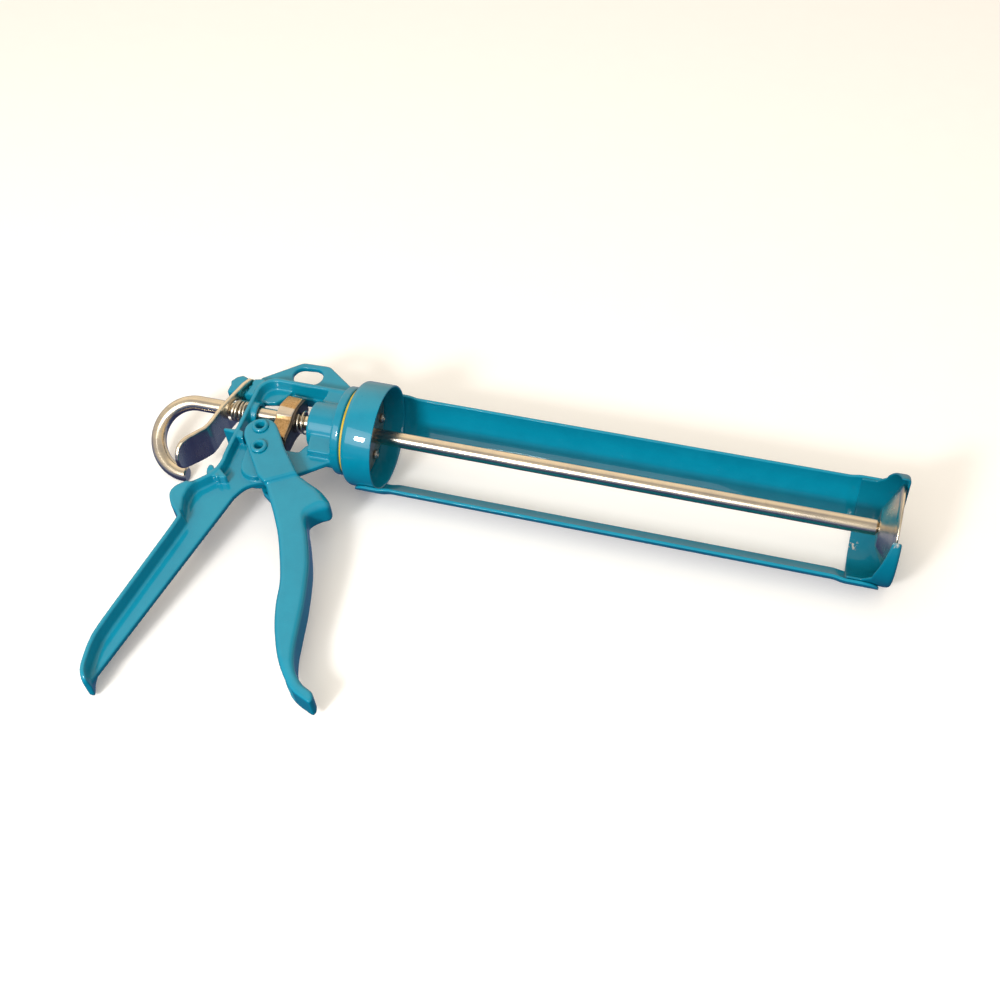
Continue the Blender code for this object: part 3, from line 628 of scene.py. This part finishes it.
def casting_field(grid):
    beam_top, beam_rear, corner = 20.4, -76.0, 10.4
    corner_centre = (beam_rear + corner, beam_top - corner)
    beam = [(-20.5, beam_top)] + arc(corner_centre, corner, 90, 180, 12)
    post = smooth([
        (beam_rear, 4.0), (-75.8, -30.0), (-75.4, -38.5), (-77.2, -45.5), (-81.5, -50.8), (-86.0, -55.2),
    ])
    handle_rear = smooth([
        (-86.0, -55.2), (-90.4, -59.6), (-91.4, -64.5), (-88.0, -70.4), (-82.8, -75.4), (-82.3, -80.0),
        (-87.2, -110.0), (-92.4, -142.0), (-92.9, -151.5), (-92.1, -158.5), (-90.6, -165.5), (-87.4, -171.6),
    ])
    horn = [(-86.0, -55.2), (-90.4, -59.6), (-91.4, -64.5), (-88.0, -70.4), (-82.8, -75.4), (-81.2, -72.0),
            (-83.5, -65.0), (-83.5, -59.0), (-82.0, -54.4)]
    web_front = smooth([(-48.0, -41.6), (-54.0, -43.6), (-59.6, -47.6), (-63.0, -54.0)])
    web = [
        (-78.4, 16.0), (-78.9, 23.2), *round_corners(
            [(-78.9, 23.2), (-60.4, 38.4), (-45.3, 38.8), (-21.0, 21.6)], [0.0, 5.0, 5.0, 0.0], 6, False
        )[1:],
        (-21.0, -21.0), (-37.0, -34.0), *web_front, (-86.2, -167.0), (-88.4, -168.0), (-90.4, -160.0),
        (-91.3, -152.0), (-90.6, -142.0), (-80.8, -80.0), (-84.0, -73.0), (-89.5, -65.0), (-84.5, -56.0),
        (-76.0, -47.0), (-74.2, -38.5), (-74.4, 8.0),
    ]
    window = round_corners([
        (-74.0, -21.0), (-41.0, -20.4), (-39.2, -16.0), (-34.0, -10.0), (-34.0, 10.0), (-37.8, 14.6),
        (-41.5, 18.2), (-58.5, 18.2), (-61.0, 12.5), (-64.6, 8.4), (-69.6, 7.3), (-74.4, 7.0),
    ], 2.0)
    hang_hole = rounded_bar((-57.4, 29.6), (-52.0, 30.0), 5.5)
    flat = carve(polygon_field(web, grid.x, grid.z), polygon_field(window, grid.x, grid.z), 1.0)
    flat = carve(flat, polygon_field(hang_hole, grid.x, grid.z))
    solid = meet(flat, slab(grid.y, -1.6, 1.6), 0.5)

    far_side = [(-76.0, 12.0), (-72.7, 11.8), (-67.6, 12.9), (-52.3, 16.1), (-41.0, 16.8), (-41.0, 19.0),
                (-66.0, 19.0), (-73.0, 16.0)]
    handle = unite(grid.strip(handle_rear, FLANGE_T, 2.1, 9.5, 0.8), grid.side(horn, -9.35, 9.35, 1.8), 0.8)
    end_y = np.maximum(np.abs(grid.y) - 3.9, 0.0)
    end_z = np.maximum(-165.6 - grid.z, 0.0)
    handle = meet(handle, np.hypot(end_y, end_z) - 5.8 + 0.0 * grid.x, 0.8)
    side_wall = [(-37.8, 19.2), (-37.8, 14.0), (-40.0, 6.0), (-21.0, 6.0), (-21.0, 19.2)]
    wedge = [(-38.4, -4.0), (-35.6, -21.4), (-21.0, -21.4), (-21.0, -4.0)]
    pad = rounded_bar(PIVOT, (PIVOT[0] + 0.7, PIVOT[1] - 7.2), 8.3)
    for shape, blend in (
        (grid.strip(beam + post, FLANGE_T, 2.2, 7.5, 0.7), 1.3),
        (grid.side(far_side, 1.0, 7.5, 0.6), 0.8),
        (handle, 1.5),
        (grid.side(round_corners(side_wall, 1.0), -7.3, 7.3, 0.7), 1.2),
        (grid.side(wedge, -6.0, 6.0, 0.9), 1.4),
        (grid.bar_x(12.5, -40.0, -22.0, r=0.7), 0.9),
        (grid.bar_x(FLANGE_R, -23.0, -18.5, r=0.7), 1.2),
        (grid.bar_x(SPIGOT_R, -20.0, -12.6, r=0.4), 0.3),
        (grid.side(pad, -5.2, 5.2, 0.6), 0.8),
        (grid.bar_x(6.6, -73.5, -70.4, r=0.5), 0.9),
    ):
        solid = unite(solid, shape, blend)

    tongue = grid.block((-92.5, -3.2, 8.8), (-74.5, 3.2, 13.4), 0.7)
    nub = grid.side([
        (-88.6, 8.4), (-86.4, 8.4), (-83.4, 17.4), (-84.8, 19.8), (-87.8, 20.8), (-90.8, 19.0), (-92.9, 15.6),
        (-91.2, 11.8),
    ], -4.4, 4.4, 1.3)
    wall = grid.side([(-81.2, 6.9), (-74.6, 6.8), (-74.2, 12.0), (-71.8, 16.6), (-74.6, 18.8), (-79.5, 17.6)],
                     -6.6, 6.6, 0.6)
    crease = [(-79.6, 14.6), (-79.0, 14.4), (-80.1, 7.6), (-78.0, 3.0), (-78.7, 2.6), (-80.9, 7.2)]
    wall = carve(wall, meet(polygon_field(crease, grid.x, grid.z), -np.abs(grid.y) + 5.6, 0.0), 0.25)
    solid = unite(solid, unite(unite(tongue, nub, 0.6), wall, 0.4), 0.6)

    shelf = grid.side([(-82.2, -19.0), (-74.0, -19.6), (-74.0, -16.9), (-82.2, -17.4)], -6.8, 6.8, 0.5)
    rib = grid.side([(-74.5, -19.4), (-66.0, -18.8), (-66.0, -17.4), (-74.5, -16.8)], -4.5, 4.5, 0.5)
    solid = unite(solid, unite(shelf, rib, 0.5), 0.8)

    spur = grid.side([(-75.5, -16.8), (-71.2, -17.6), (-69.8, -22.6), (-74.6, -21.2)], -7.1, 7.1, 0.5)
    saddle = grid.side([(-80.4, -44.5), (-79.4, -47.4), (-75.9, -48.3), (-69.4, -48.0), (-68.4, -46.8),
                        (-70.8, -45.2), (-74.0, -42.6)], -7.1, 7.1, 0.7)
    solid = unite(unite(solid, spur, 0.4), saddle, 0.5)
    for x, z in ((-76.9, -47.7), (-73.2, -48.0)):
        solid = unite(solid, grid.bar_y(0.95, -7.5, 7.5, (x, z), r=0.4), 0.25)
    solid = unite(solid, grid.bar_y(1.5, -7.6, -3.5, (-78.6, -43.4), r=0.6), 0.6)
    mark = np.hypot(np.hypot(grid.x + 27.3, grid.z - 14.2) - 2.1, grid.y + 7.3) - 0.34
    solid = unite(solid, mark, 0.2)

    solid = carve(solid, grid.bar_x(4.4, -100.0, 0.0), 0.4)
    solid = carve(solid, grid.bar_x(7.2, -45.0, -28.0), 0.5)
    return carve(solid, grid.bar_y(RIVET_HOLE_R, -20.0, 20.0, PIVOT))


def make_casting(material):
    grid = Grid((-93.5, -23.1, -174.0), (-12.5, 23.1, 39.2), 0.58)
    moulded("frame_casting", "frame", material, grid, casting_field(grid))


# ---- Swivel and cradle


def make_swivel(ring_look, dish_look, rivet_look):
    ring = [(-17.9, SPIGOT_R + GAP), (-17.9, FLANGE_R), (-16.7, FLANGE_R), (-16.7, SPIGOT_R + GAP)]
    turned("bearing_ring", "frame", ring_look, round_corners(ring, 0.4), 128)
    back, front, wall, rim = -14.7, -10.6, 1.4, 24.6
    dish = [
        (back, rim), (front, rim), (front, 13.4), (front + wall, 12.0), (front + wall, 4.8), (front, 4.8),
        (front, 11.6), (front - wall, 12.8), (front - wall, rim - wall), (back, rim - wall),
    ]
    radii = [0.3, 1.4, 0.8, 0.8, 0.4, 0.3, 0.6, 0.6, 0.6, 0.3]
    turned("retainer_dish", "frame", dish_look, round_corners(dish, radii, 5), 128)
    for number in range(RIVETS):
        angle = math.radians(7.0 + 360.0 / RIVETS * number)
        centre = (0.0, 19.3 * math.cos(angle), 19.3 * math.sin(angle))
        seat = front + GAP
        head = [(-16.6, 0.0), (-16.6, 1.2), (seat, 1.2), (seat, 2.7), (seat + 0.9, 2.6), (seat + 1.45, 1.9),
                (seat + 1.45, 1.2), (seat + 0.9, 0.8), (seat + 0.7, 0.0)]
        profile = [head[0]] + round_corners(head, 0.35, 3, closed=False)[1:]
        turned(f"retainer_rivet_{number + 1}", "frame", rivet_look, profile, 36, centre)


def make_cup(material):
    back, wall, f = -16.2, 1.2, 3.0
    hole = SPIGOT_R + GAP
    outer = arc((back + f, CUP_R - f), f, 180, 90, 8)
    inner = arc((back + f, CUP_R - f), f - wall, 90, 180, 6)
    rim = [(-0.5, CUP_R), (-0.12, CUP_R - 0.12), (0.0, CUP_R - 0.45), (0.0, CUP_R - 0.8),
           (-0.15, CUP_R - 1.08), (-0.5, CUP_R - wall)]
    profile = [(back, hole), *outer, *rim, *inner, (back + wall, hole)]
    turned("cradle_cup", "cradle", material, profile, 144, sharp=50.0)


def rail_radius(x):
    """The rail's inner radius, stepped outwards over the cup and over the front ring."""
    end_r, middle_r = CUP_R + GAP, 26.6
    rear = np.clip((x - 1.5) / 6.5, 0.0, 1.0)
    front = np.clip((x - (RING_BACK_X - 6.5)) / 7.0, 0.0, 1.0)
    ease = [t * t * (3 - 2 * t) for t in (rear, front)]
    return end_r + (middle_r - end_r) * (ease[0] - ease[1])


def make_rail(name, middle, material):
    """A curved strip with rounded tongues at its ends, built from two faces and a rounded rim."""
    start_x, end_x, thickness, corner, edge = -11.5, 251.5, 1.5, 7.0, 0.3
    bend_r = 28.0
    half = math.radians(25.0) * bend_r
    length = end_x - start_x
    stretches = (0, 26, 40), (30, 232, 36), (236, length, 40)
    along = np.concatenate([np.linspace(*stretch) for stretch in stretches]) / length
    across = np.linspace(-1.0, 1.0, 41)

    def sheet(inset, depth):
        grid = []
        for v in across:
            s = v * (half - inset)
            over = max(abs(s) - (half - inset - corner), 0.0)
            cut_back = corner - math.sqrt(max(corner * corner - over * over, 0.0)) + inset
            x = start_x + cut_back + (length - 2 * cut_back) * along
            r = rail_radius(x) + thickness - depth
            angle = math.radians(middle) + s / bend_r
            grid.append(np.stack([x, r * math.cos(angle), r * math.sin(angle)], 1))
        return np.array(grid)

    def rim(grid):
        return np.concatenate([grid[0, :], grid[1:, -1], grid[-1, -2::-1], grid[-2:0:-1, 0]])

    layers = [(edge, 0.0), (edge * 0.3, edge * 0.3), (0.0, edge), (0.0, thickness - edge),
              (edge * 0.3, thickness - edge * 0.3), (edge, thickness)]
    rims = [rim(sheet(*layer)) for layer in layers]
    top, bottom = sheet(*layers[0]), sheet(*layers[-1])
    rows, columns = top.shape[:2]
    vertices = [top.reshape(-1, 3), bottom.reshape(-1, 3)]
    faces = []
    for i in range(rows - 1):
        for j in range(columns - 1):
            a = i * columns + j
            quad = (a, a + 1, a + columns + 1, a + columns)
            faces.append(quad)
            faces.append(tuple(k + rows * columns for k in reversed(quad)))
    first = 2 * rows * columns
    vertices += rims
    faces += [tuple(first + k for k in face) for face in loops(len(rims), len(rims[0]), closed=False)]
    make_piece(name, "cradle", material, np.concatenate(vertices), faces, sharp=50.0)


def make_front_ring(material):
    grid = Grid((RING_BACK_X, -CUP_R, -CUP_R), (FRONT_X, CUP_R, CUP_R), 0.42)
    r, wall, hole = CUP_R, 1.2, 12.0
    profile = [
        *round_corners([(RING_BACK_X, r), (FRONT_X, r), (FRONT_X, hole)], [0.0, 2.4, 0.0], 6, closed=False),
        *round_corners(
            [(FRONT_X - wall, hole), (FRONT_X - wall, r - wall), (RING_BACK_X, r - wall)], [0.0, 1.2, 0.0],
            closed=False
        ),
    ]
    solid = grid.turned(profile) - 0.02
    turn = math.radians(CRADLE_TURN)
    u = grid.y * math.cos(turn) + grid.z * math.sin(turn)
    v = grid.z * math.cos(turn) - grid.y * math.sin(turn)
    mouth = polygon_field([(0.0, -10.0), (-40.0, -22.0), (-40.0, 22.0), (0.0, 10.0)], u, v)
    solid = carve(solid, mouth, 1.0)
    flank = polygon_field([
        (FRONT_X - 60.0, 3.0), (RING_BACK_X + 7.0, 3.0), (RING_BACK_X + 11.0, -1.0), (FRONT_X - 9.5, -4.0),
        (FRONT_X - 4.6, -20.0), (FRONT_X - 4.6, -40.0), (FRONT_X - 60.0, -40.0),
    ], grid.x, u)
    solid = carve(solid, flank, 0.8)
    moulded("front_ring", "cradle", material, grid, solid)


# ---- Trigger, rivets and drive


def trigger_field(grid):
    head = [
        *smooth([
            (-64.4, -28.4), (-69.0, -21.5), (-70.0, -15.5), (-66.8, -10.6), (-61.8, -8.8), (-56.6, -10.2),
            (-52.2, -15.0), (-45.7, -24.4),
        ]),
        (-33.4, -38.6), (-47.6, -47.6), (-52.6, -44.2),
    ]
    front = [(-45.6, -24.6)] + smooth([
        (-39.2, -32.2), (-34.8, -36.6), (-30.3, -39.2), (-25.6, -41.4), (-20.2, -43.6), (-15.8, -46.6),
        (-12.7, -49.8), (-13.0, -52.8), (-17.0, -55.6), (-20.6, -59.2), (-20.2, -63.0), (-15.4, -72.6),
        (-9.4, -87.0), (-4.4, -106.0), (-1.6, -121.0), (0.8, -133.0), (4.2, -141.6), (9.6, -147.4),
        (15.6, -150.6), (17.2, -154.0), (16.4, -156.2),
    ])
    rear = smooth([
        (15.0, -155.8), (4.3, -150.6), (-5.0, -139.6), (-12.6, -124.8), (-17.2, -111.5), (-20.4, -98.0),
        (-28.8, -78.2), (-36.0, -65.3), (-43.9, -53.4), (-47.6, -47.6),
    ]) + [(-52.0, -38.0)]
    inner = smooth([
        (-34.0, -38.0), (-27.0, -44.5), (-23.8, -50.0), (-23.6, -57.0), (-23.0, -63.0), (-18.0, -73.4),
        (-12.0, -87.8), (-7.0, -106.6), (-4.2, -121.6), (-1.8, -134.0), (1.8, -143.0), (7.4, -149.4),
    ])
    narrow = 1.0 + 0.20 * np.clip((-138.0 - grid.z) / 16.0, 0.0, 1.0)
    nub = np.exp(-((grid.x + 17.0) ** 2 + (grid.z + 51.5) ** 2) / 90.0)
    soft = 2.9 + 1.9 * nub - 1.7 * np.clip((-148.0 - grid.z) / 6.0, 0.0, 1.0)
    lever = grid.side(front + rear, -8.0, 8.0, soft, narrow)
    cheeks = grid.side(head, -10.0, 10.0, 1.5)
    solid = unite(lever, cheeks, 1.2)
    channel = [*inner, (4.0, -158.0), (-40.0, -130.0), (-52.0, -60.0), (-55.0, -38.0)]
    solid = carve(solid, grid.side(channel, -5.8, 5.8, 1.4, narrow), 0.7)
    slot = [(-80.0, 0.0), (-80.0, -43.5), (-47.0, -43.5), (-41.5, -33.5), (-36.0, -20.0), (-36.0, 0.0)]
    solid = carve(solid, grid.side(slot, -7.8, 7.8, 0.8), 0.7)
    solid = carve(solid, grid.block((-48.0, -2.8, -43.5), (-20.0, 2.8, 0.0), 0.8), 0.6)
    for place in (PIVOT, PUSHER):
        solid = carve(solid, grid.bar_y(RIVET_HOLE_R, -20.0, 20.0, place))
    return solid


def make_trigger(material):
    grid = Grid((-70.2, -10.1, -156.6), (17.6, 10.1, -8.4), 0.52)
    moulded("trigger", "trigger", material, grid, trigger_field(grid))


def make_rivet(node, body, point, material):
    """A tubular rivet along Y with a rolled head at each end."""
    half, top, head_r, hole_r, depth = 10.3, 11.6, 4.3, 2.15, 5.6
    roll = [
        (top - depth, 0.0), (top - depth, hole_r - 0.15), (top - 0.9, hole_r), (top - 0.25, hole_r + 0.35),
        (top, hole_r + 0.95), (top - 0.08, hole_r + 1.45), (top - 0.5, head_r - 0.25), (top - 0.95, head_r),
        (half, head_r - 0.1), (half, 3.2),
    ]
    roll = [roll[0]] + round_corners(roll, 0.4, 3, closed=False)[1:]
    profile = roll + [(-y, radius) for y, radius in reversed(roll)]
    turned(node, body, material, profile, 56, (point[0], 0.0, point[1]), axis="Y", sharp=45.0)


def mirrored(half):
    return half + [(-y, z) for y, z in reversed(half)]


def make_drive(block_look, plate_look):
    rear_x, front_x = BLOCK_X
    grid = Grid((rear_x, -9.2, -17.4), (front_x, 9.2, 12.6), 0.3)
    tail = [(5.4, -11.5), (5.0, -15.4), (3.2, -17.2)]
    rear = [(3.9, 12.4), (5.2, 11.6), (8.7, 2.6), (8.75, -1.2), (8.3, -3.7), (6.8, -5.6)]
    front = [(3.6, 12.4), (4.6, 11.8), (7.3, 3.9), (8.1, -0.6), (7.9, -2.8), (6.5, -5.4)]
    rear, front = (polygon_field(mirrored(half + tail), grid.y, grid.z) for half in (rear, front))
    share = np.clip((grid.x - rear_x) / (front_x - rear_x), 0.0, 1.0)
    block = meet(rear * (1 - share) + front * share, slab(grid.x, rear_x, front_x), 0.7)
    block = carve(block, grid.bar_x(ROD_R + GAP, -70.0, -40.0), 0.3)
    moulded("drive_block", "drive", block_look, grid, block)

    grid = Grid((PLATE_X[0], -9.0, -19.6), (PLATE_X[1], 9.0, 12.6), 0.26)
    thin = mirrored([(3.5, 12.3), (4.4, 11.7), (7.6, 3.0), (7.9, -1.6), (7.4, -3.2), (6.3, -5.6), (5.4, -9.5),
                     (5.4, -11.5), (5.0, -17.4), (3.4, -19.4)])
    plate = grid.end(round_corners(thin, 1.0), *PLATE_X, 0.3)
    plate = carve(plate, grid.bar_x(ROD_R + GAP, -70.0, -40.0), 0.2)
    moulded("drive_plate", "drive", plate_look, grid, plate)


def coil(low, high, turns, wire, radius, start=0.0, tilt=0.0, per_turn=26):
    """Points of a spring about the rod with closed end turns. A tilt leans its first turns back."""
    count = int(turns * per_turn)
    points = []
    for i in range(count + 1):
        angle = start + 2 * math.pi * i / per_turn
        share = i / count
        x = low + wire + (high - low - 2 * wire) * (share - math.sin(2 * math.pi * share) / 14.0)
        x += tilt * radius * math.sin(angle) * (1.0 - share)
        points.append((x, radius * math.cos(angle), radius * math.sin(angle)))
    return points


def make_spring(node, points, wire, material):
    """A spring: a round wire swept along its points, on a mesh of its own."""
    vertices, faces = sweep(points, [wire] * len(points), 14)
    ob = make_piece(node, "frame", material, vertices, faces, sharp=60.0)
    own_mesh(ob)


def make_springs(material):
    rear, front, wire = -48.4, -28.3, 0.52
    turns = coil(rear, front, 5.6, wire, 5.75, start=math.pi)
    make_spring("drive_spring", turns, wire, material)
    rear, front, wire = -84.4, -76.4, 0.62
    leaned = coil(rear, front, 4.5, wire, 5.4, tilt=0.28)
    make_spring("release_spring", leaned, wire, material)


# ---- Release plate, rod and piston


def make_release_plate(material):
    grid = Grid((-103.4, -10.6, -43.2), (-79.0, 10.6, 18.8), 0.42)
    rear = [(-81.5, 19.9), (-88.8, -6.0), (-90.6, -18.8)] + smooth([
        (-91.4, -21.6), (-94.8, -26.2), (-98.2, -30.4), (-100.4, -34.6), (-101.0, -38.6), (-100.8, -43.0),
    ])
    strip = polygon_field(ribbon(rear, 2.2), grid.x, grid.z)
    shape = round_corners(mirrored([
        (4.6, 18.4), (7.6, 16.6), (8.9, 12.0), (9.2, 4.0), (9.6, -16.0), (10.5, -25.0), (10.4, -30.0),
        (9.7, -33.5), (8.0, -36.6), (5.4, -39.0), (2.4, -40.5),
    ]), 2.5)
    solid = meet(strip, polygon_field(shape, grid.y, grid.z), 0.55)
    solid = carve(solid, np.hypot(grid.y, grid.z) - (ROD_R + 1.4) + 0.0 * grid.x, 0.4)
    window = round_corners([(-3.9, 8.1), (3.9, 8.1), (3.9, 14.2), (-3.9, 14.2)], 0.8)
    solid = carve(solid, polygon_field(window, grid.y, grid.z) + 0.0 * grid.x, 0.4)
    moulded("release_plate", "release", material, grid, solid)


def make_rod(material):
    """The straight rod, its hook with a chamfered end, and a threaded stud at the front."""
    hook_x, hook_r, front_x = -105.0, 19.0, 246.0
    turn = math.radians(-57.4)
    points = [(front_x, 0.0), (front_x - 0.01, 0.0), (front_x - 0.7, 0.0)]
    points += [(x, 0.0) for x in np.linspace(front_x - 6.0, hook_x + 1.0, 40)]
    points += [(hook_x - hook_r * math.sin(a), hook_r - hook_r * math.cos(a))
               for a in np.linspace(0.0, math.radians(185.0), 72)]
    radii = [2.2, 3.3] + [ROD_R] * (len(points) - 2) + [ROD_R - 0.75]
    last, before = points[-1], points[-2]
    dx, dz = last[0] - before[0], last[1] - before[1]
    step = math.hypot(dx, dz)
    points.insert(-1, (last[0] - dx / step * 0.7, last[1] - dz / step * 0.7))
    path = [(x, s * math.cos(turn), s * math.sin(turn)) for x, s in points]
    vertices, faces = sweep(path, radii, 56)

    pitch, steps = 0.8, 40
    stud_x = np.arange(front_x - 1.0, front_x + 7.6, 0.1)
    angle = np.linspace(0, 2 * math.pi, steps, endpoint=False)
    rings = []
    for x in stud_x:
        wave = (x / pitch - angle / (2 * math.pi)) % 1.0
        fade = min(1.0, (stud_x[-1] - x) / 0.7)
        radius = (2.5 - 0.42 * np.abs(2 * wave - 1.0)) * (0.82 + 0.18 * fade)
        rings.append(np.stack([np.full(steps, x), radius * np.cos(angle), radius * np.sin(angle)], 1))
    stud = np.concatenate(rings + [np.array([[stud_x[0], 0, 0], [stud_x[-1], 0, 0]])])
    faces += [tuple(i + len(vertices) for i in face) for face in capped(len(stud_x), steps)]
    make_piece("push_rod", "rod", material, np.concatenate([vertices, stud]), faces, sharp=40.0)


def make_piston(material, small_look):
    back = PISTON_BACK_X
    front = back + 8.5
    profile = [
        (back, 2.8), (back, 9.0), (back + 0.5, 10.2), (front - 2.4, 19.7), (front - 1.7, 21.2),
        (front - 0.9, 22.5), (front, 22.5), (front, 21.6), (front - 0.9, 20.0), (front - 1.6, 18.6),
        (back + 1.9, 10.0), (back + 1.2, 8.4), (back + 1.2, 2.8),
    ]
    radii = [0.3, 1.5, 1.5, 0.8, 0.8, 0.35, 0.35, 0.3, 0.8, 1.0, 1.0, 1.0, 0.3]
    turned("piston_plate", "piston", material, round_corners(profile, radii, 5), 144)
    seat = back + 1.5
    washer = [(seat, 2.8), (seat, 6.0), (seat + 1.0, 6.0), (seat + 1.0, 2.8)]
    turned("piston_washer", "rod", small_look, round_corners(washer, 0.25, 3), 64)
    nut_back, nut_front = seat + 1.3, seat + 5.0
    grid = Grid((nut_back, -5.0, -5.0), (nut_front, 5.0, 5.0), 0.2)
    hexagon = arc((0.0, 0.0), 4.6, 0, 360, 6)[:-1]
    solid = grid.end(hexagon, nut_back, nut_front, 0.15)
    radius = np.hypot(grid.y, grid.z)
    cone = radius - 4.35 - 0.9 * (nut_front - grid.x)
    solid = carve(np.maximum(solid, cone * 0.75), radius - 2.75, 0.25)
    moulded("piston_nut", "rod", small_look, grid, solid)


# ---- Stage, light and camera


def sky_direction(azimuth, elevation):
    a, e = math.radians(azimuth), math.radians(elevation)
    return Vector((math.cos(a) * math.cos(e), math.sin(a) * math.cos(e), math.sin(e)))


def add_light(name, azimuth, elevation, distance, size, power, color, mirrored_in_metal=True):
    data = bpy.data.lights.new(name, "AREA")
    data.shape = "RECTANGLE"
    data.size, data.size_y = size
    data.energy = power
    data.color = color
    ob = bpy.data.objects.new(name, data)
    away = sky_direction(azimuth, elevation)
    ob.location = GUN @ Vector(LIGHT_TARGET) + away * distance
    ob.rotation_euler = away.to_track_quat("Z", "Y").to_euler()
    ob.visible_glossy = mirrored_in_metal
    bpy.context.scene.collection.objects.link(ob)


def make_lights():
    add_light("softbox_front", -107.0, 34.0, 1.2, (0.80, 0.70), 4.2, (1.0, 0.97, 0.93))
    add_light("key_front", -107.0, 33.0, 1.1, (0.19, 0.17), 7.0, (1.0, 0.98, 0.95))
    add_light("softbox_top", -70.0, 70.0, 1.6, (1.4, 1.2), 5.5, (1.0, 0.97, 0.90), mirrored_in_metal=False)


def make_floor():
    """A sheet of pale paper that curves up far away. The gun gets no light or reflection from it."""
    flat, bend, steps = 2.6, 1.6, 64
    profile = [(1.2, 0.0), (flat, 0.0)]
    profile += [(flat + bend * math.sin(t), bend - bend * math.cos(t))
                for t in (math.radians(9.0 * k) for k in range(1, 11))]
    profile.append((flat + bend, 5.0))
    turns = [2 * math.pi * k / steps for k in range(steps)]
    vertices = [(radius * math.cos(t), radius * math.sin(t), up) for radius, up in profile for t in turns]
    centre = len(vertices)
    vertices.append((0.0, 0.0, 0.0))
    faces = [tuple(reversed(face)) for face in loops(len(profile), steps, closed=False)]
    faces += [(centre, k, (k + 1) % steps) for k in range(steps)]
    mesh = bpy.data.meshes.new("floor")
    mesh.from_pydata(vertices, [], faces)
    mesh.shade_smooth()
    floor = bpy.data.objects.new("floor", mesh)
    bpy.context.scene.collection.objects.link(floor)
    look = Look("floor_paper", (0.93, 0.93, 0.93), 0.0, 0.9)
    fibre = look.ramp(look.noise(60.0, 4.0, 0.6), (0.3, (0.925, 0.925, 0.925)), (0.7, (0.94, 0.94, 0.94)))
    look.set(Base_Color=fibre, Specular_IOR_Level=0.1)
    look.set(Emission_Color=(1.0, 0.99, 0.97, 1.0), Emission_Strength=0.12)
    mesh.materials.append(look.material)
    floor.visible_glossy = False
    floor.visible_diffuse = False
    floor.visible_shadow = False


def make_world():
    """A dim room with one broad pale window behind the gun, and dark blue towards the ground."""
    world = bpy.data.worlds.new("studio")
    world.use_nodes = True
    bpy.context.scene.world = world
    sky = Nodes(world.node_tree, "Generated")
    split = sky.nodes.new("ShaderNodeSeparateXYZ")
    sky.links.new(sky.place, split.inputs["Vector"])
    height = sky.maths("MULTIPLY_ADD", split.outputs["Y"], 0.35, split.outputs["Z"])
    room = sky.ramp(
        sky.band(height, -1.0, 1.0), (0.0, (0.030, 0.034, 0.10)), (0.16, (0.04, 0.055, 0.15)),
        (0.27, (0.09, 0.13, 0.25)), (0.35, (0.34, 0.37, 0.50)), (0.42, (0.24, 0.23, 0.29)),
        (0.48, (0.52, 0.48, 0.46)), (0.66, (0.66, 0.59, 0.50)), (0.82, (0.66, 0.59, 0.49)),
        (1.0, (0.46, 0.42, 0.37)),
    )
    facing = sky.compare("DOT_PRODUCT", sky_direction(125.0, 44.0))
    outer, inner = (math.cos(math.radians(angle)) for angle in (47.0, 24.0))
    window = sky.band(facing, outer, inner, "SMOOTHSTEP")
    background = sky.nodes["Background"]
    sky.feed(background.inputs["Color"], sky.mix(window, room, (1.12, 0.94, 0.70)))
    background.inputs["Strength"].default_value = 1.0


def make_camera():
    data = bpy.data.cameras.new("camera")
    data.sensor_width = 36.0
    data.lens = CAMERA_LENS
    data.clip_start, data.clip_end = 0.01, 50.0
    camera = bpy.data.objects.new("camera", data)
    right, up = Vector(CAMERA_RIGHT), Vector(CAMERA_UP)
    turn = Matrix((right, up, right.cross(up))).transposed().to_4x4()
    camera.matrix_world = GUN @ Matrix.Translation(Vector(CAMERA_PLACE) * MM) @ turn
    bpy.context.scene.collection.objects.link(camera)
    bpy.context.scene.camera = camera


def main():
    paint = enamel("enamel_pressed")
    rivet_paint = enamel("enamel_rivet")
    # The rails' paint is made a little lighter overall as painted light.
    rail_paint_painted_light = enamel("enamel_rail_painted_light", gloss=0.5, painted_light_factor=1.06)
    # Spots on the front ring for pale flecks, partly paint chips and partly painted highlight.
    chips_and_painted_glints = ((237.4, 25.1, 5.6), 3.4), ((253.2, -17.8, -20.6), 2.6), ((255.9, -19.1, -19.4), 2.0)
    plated = zinc("zinc_rod")

    make_casting(enamel("enamel_cast", 0.15))
    make_swivel(
        plastic("yellow_plastic"),
        steel("dull_steel", (0.66, 0.59, 0.52), (0.36, 0.31, 0.27), (0.34, 0.54)),
        steel("rivet_steel", (0.60, 0.54, 0.47), (0.28, 0.24, 0.20), (0.25, 0.42)),
    )
    make_cup(paint)
    make_rail("rail_upper", CRADLE_TURN + RAIL_OFFSET, rail_paint_painted_light)
    make_rail("rail_lower", CRADLE_TURN - RAIL_OFFSET, rail_paint_painted_light)
    # The ring's paint is made darker overall as painted shade.
    make_front_ring(enamel("enamel_ring_painted_shade", gloss=0.45, painted_light_factor=0.76, chips_and_painted_glints=chips_and_painted_glints))
    make_trigger(paint)
    make_rivet("push_rivet", "trigger", PUSHER, rivet_paint)
    make_rivet("pivot_rivet", "frame", PIVOT, rivet_paint)
    dark = steel("dark_steel", (0.16, 0.135, 0.115), (0.05, 0.045, 0.045), (0.25, 0.42))
    make_drive(bronze("bronze_block"), dark)
    make_springs(zinc("zinc_wire", (300.0, 300.0, 300.0), rough=(0.22, 0.40)))
    make_release_plate(zinc("zinc_plate", (240.0, 240.0, 60.0), rough=(0.16, 0.34)))
    make_rod(plated)
    make_piston(zinc("zinc_piston", (160.0, 160.0, 160.0), rough=(0.15, 0.32)), plated)
    make_floor()
    make_world()
    make_lights()
    make_camera()
    bpy.context.scene.view_settings.view_transform = "Standard"


main()
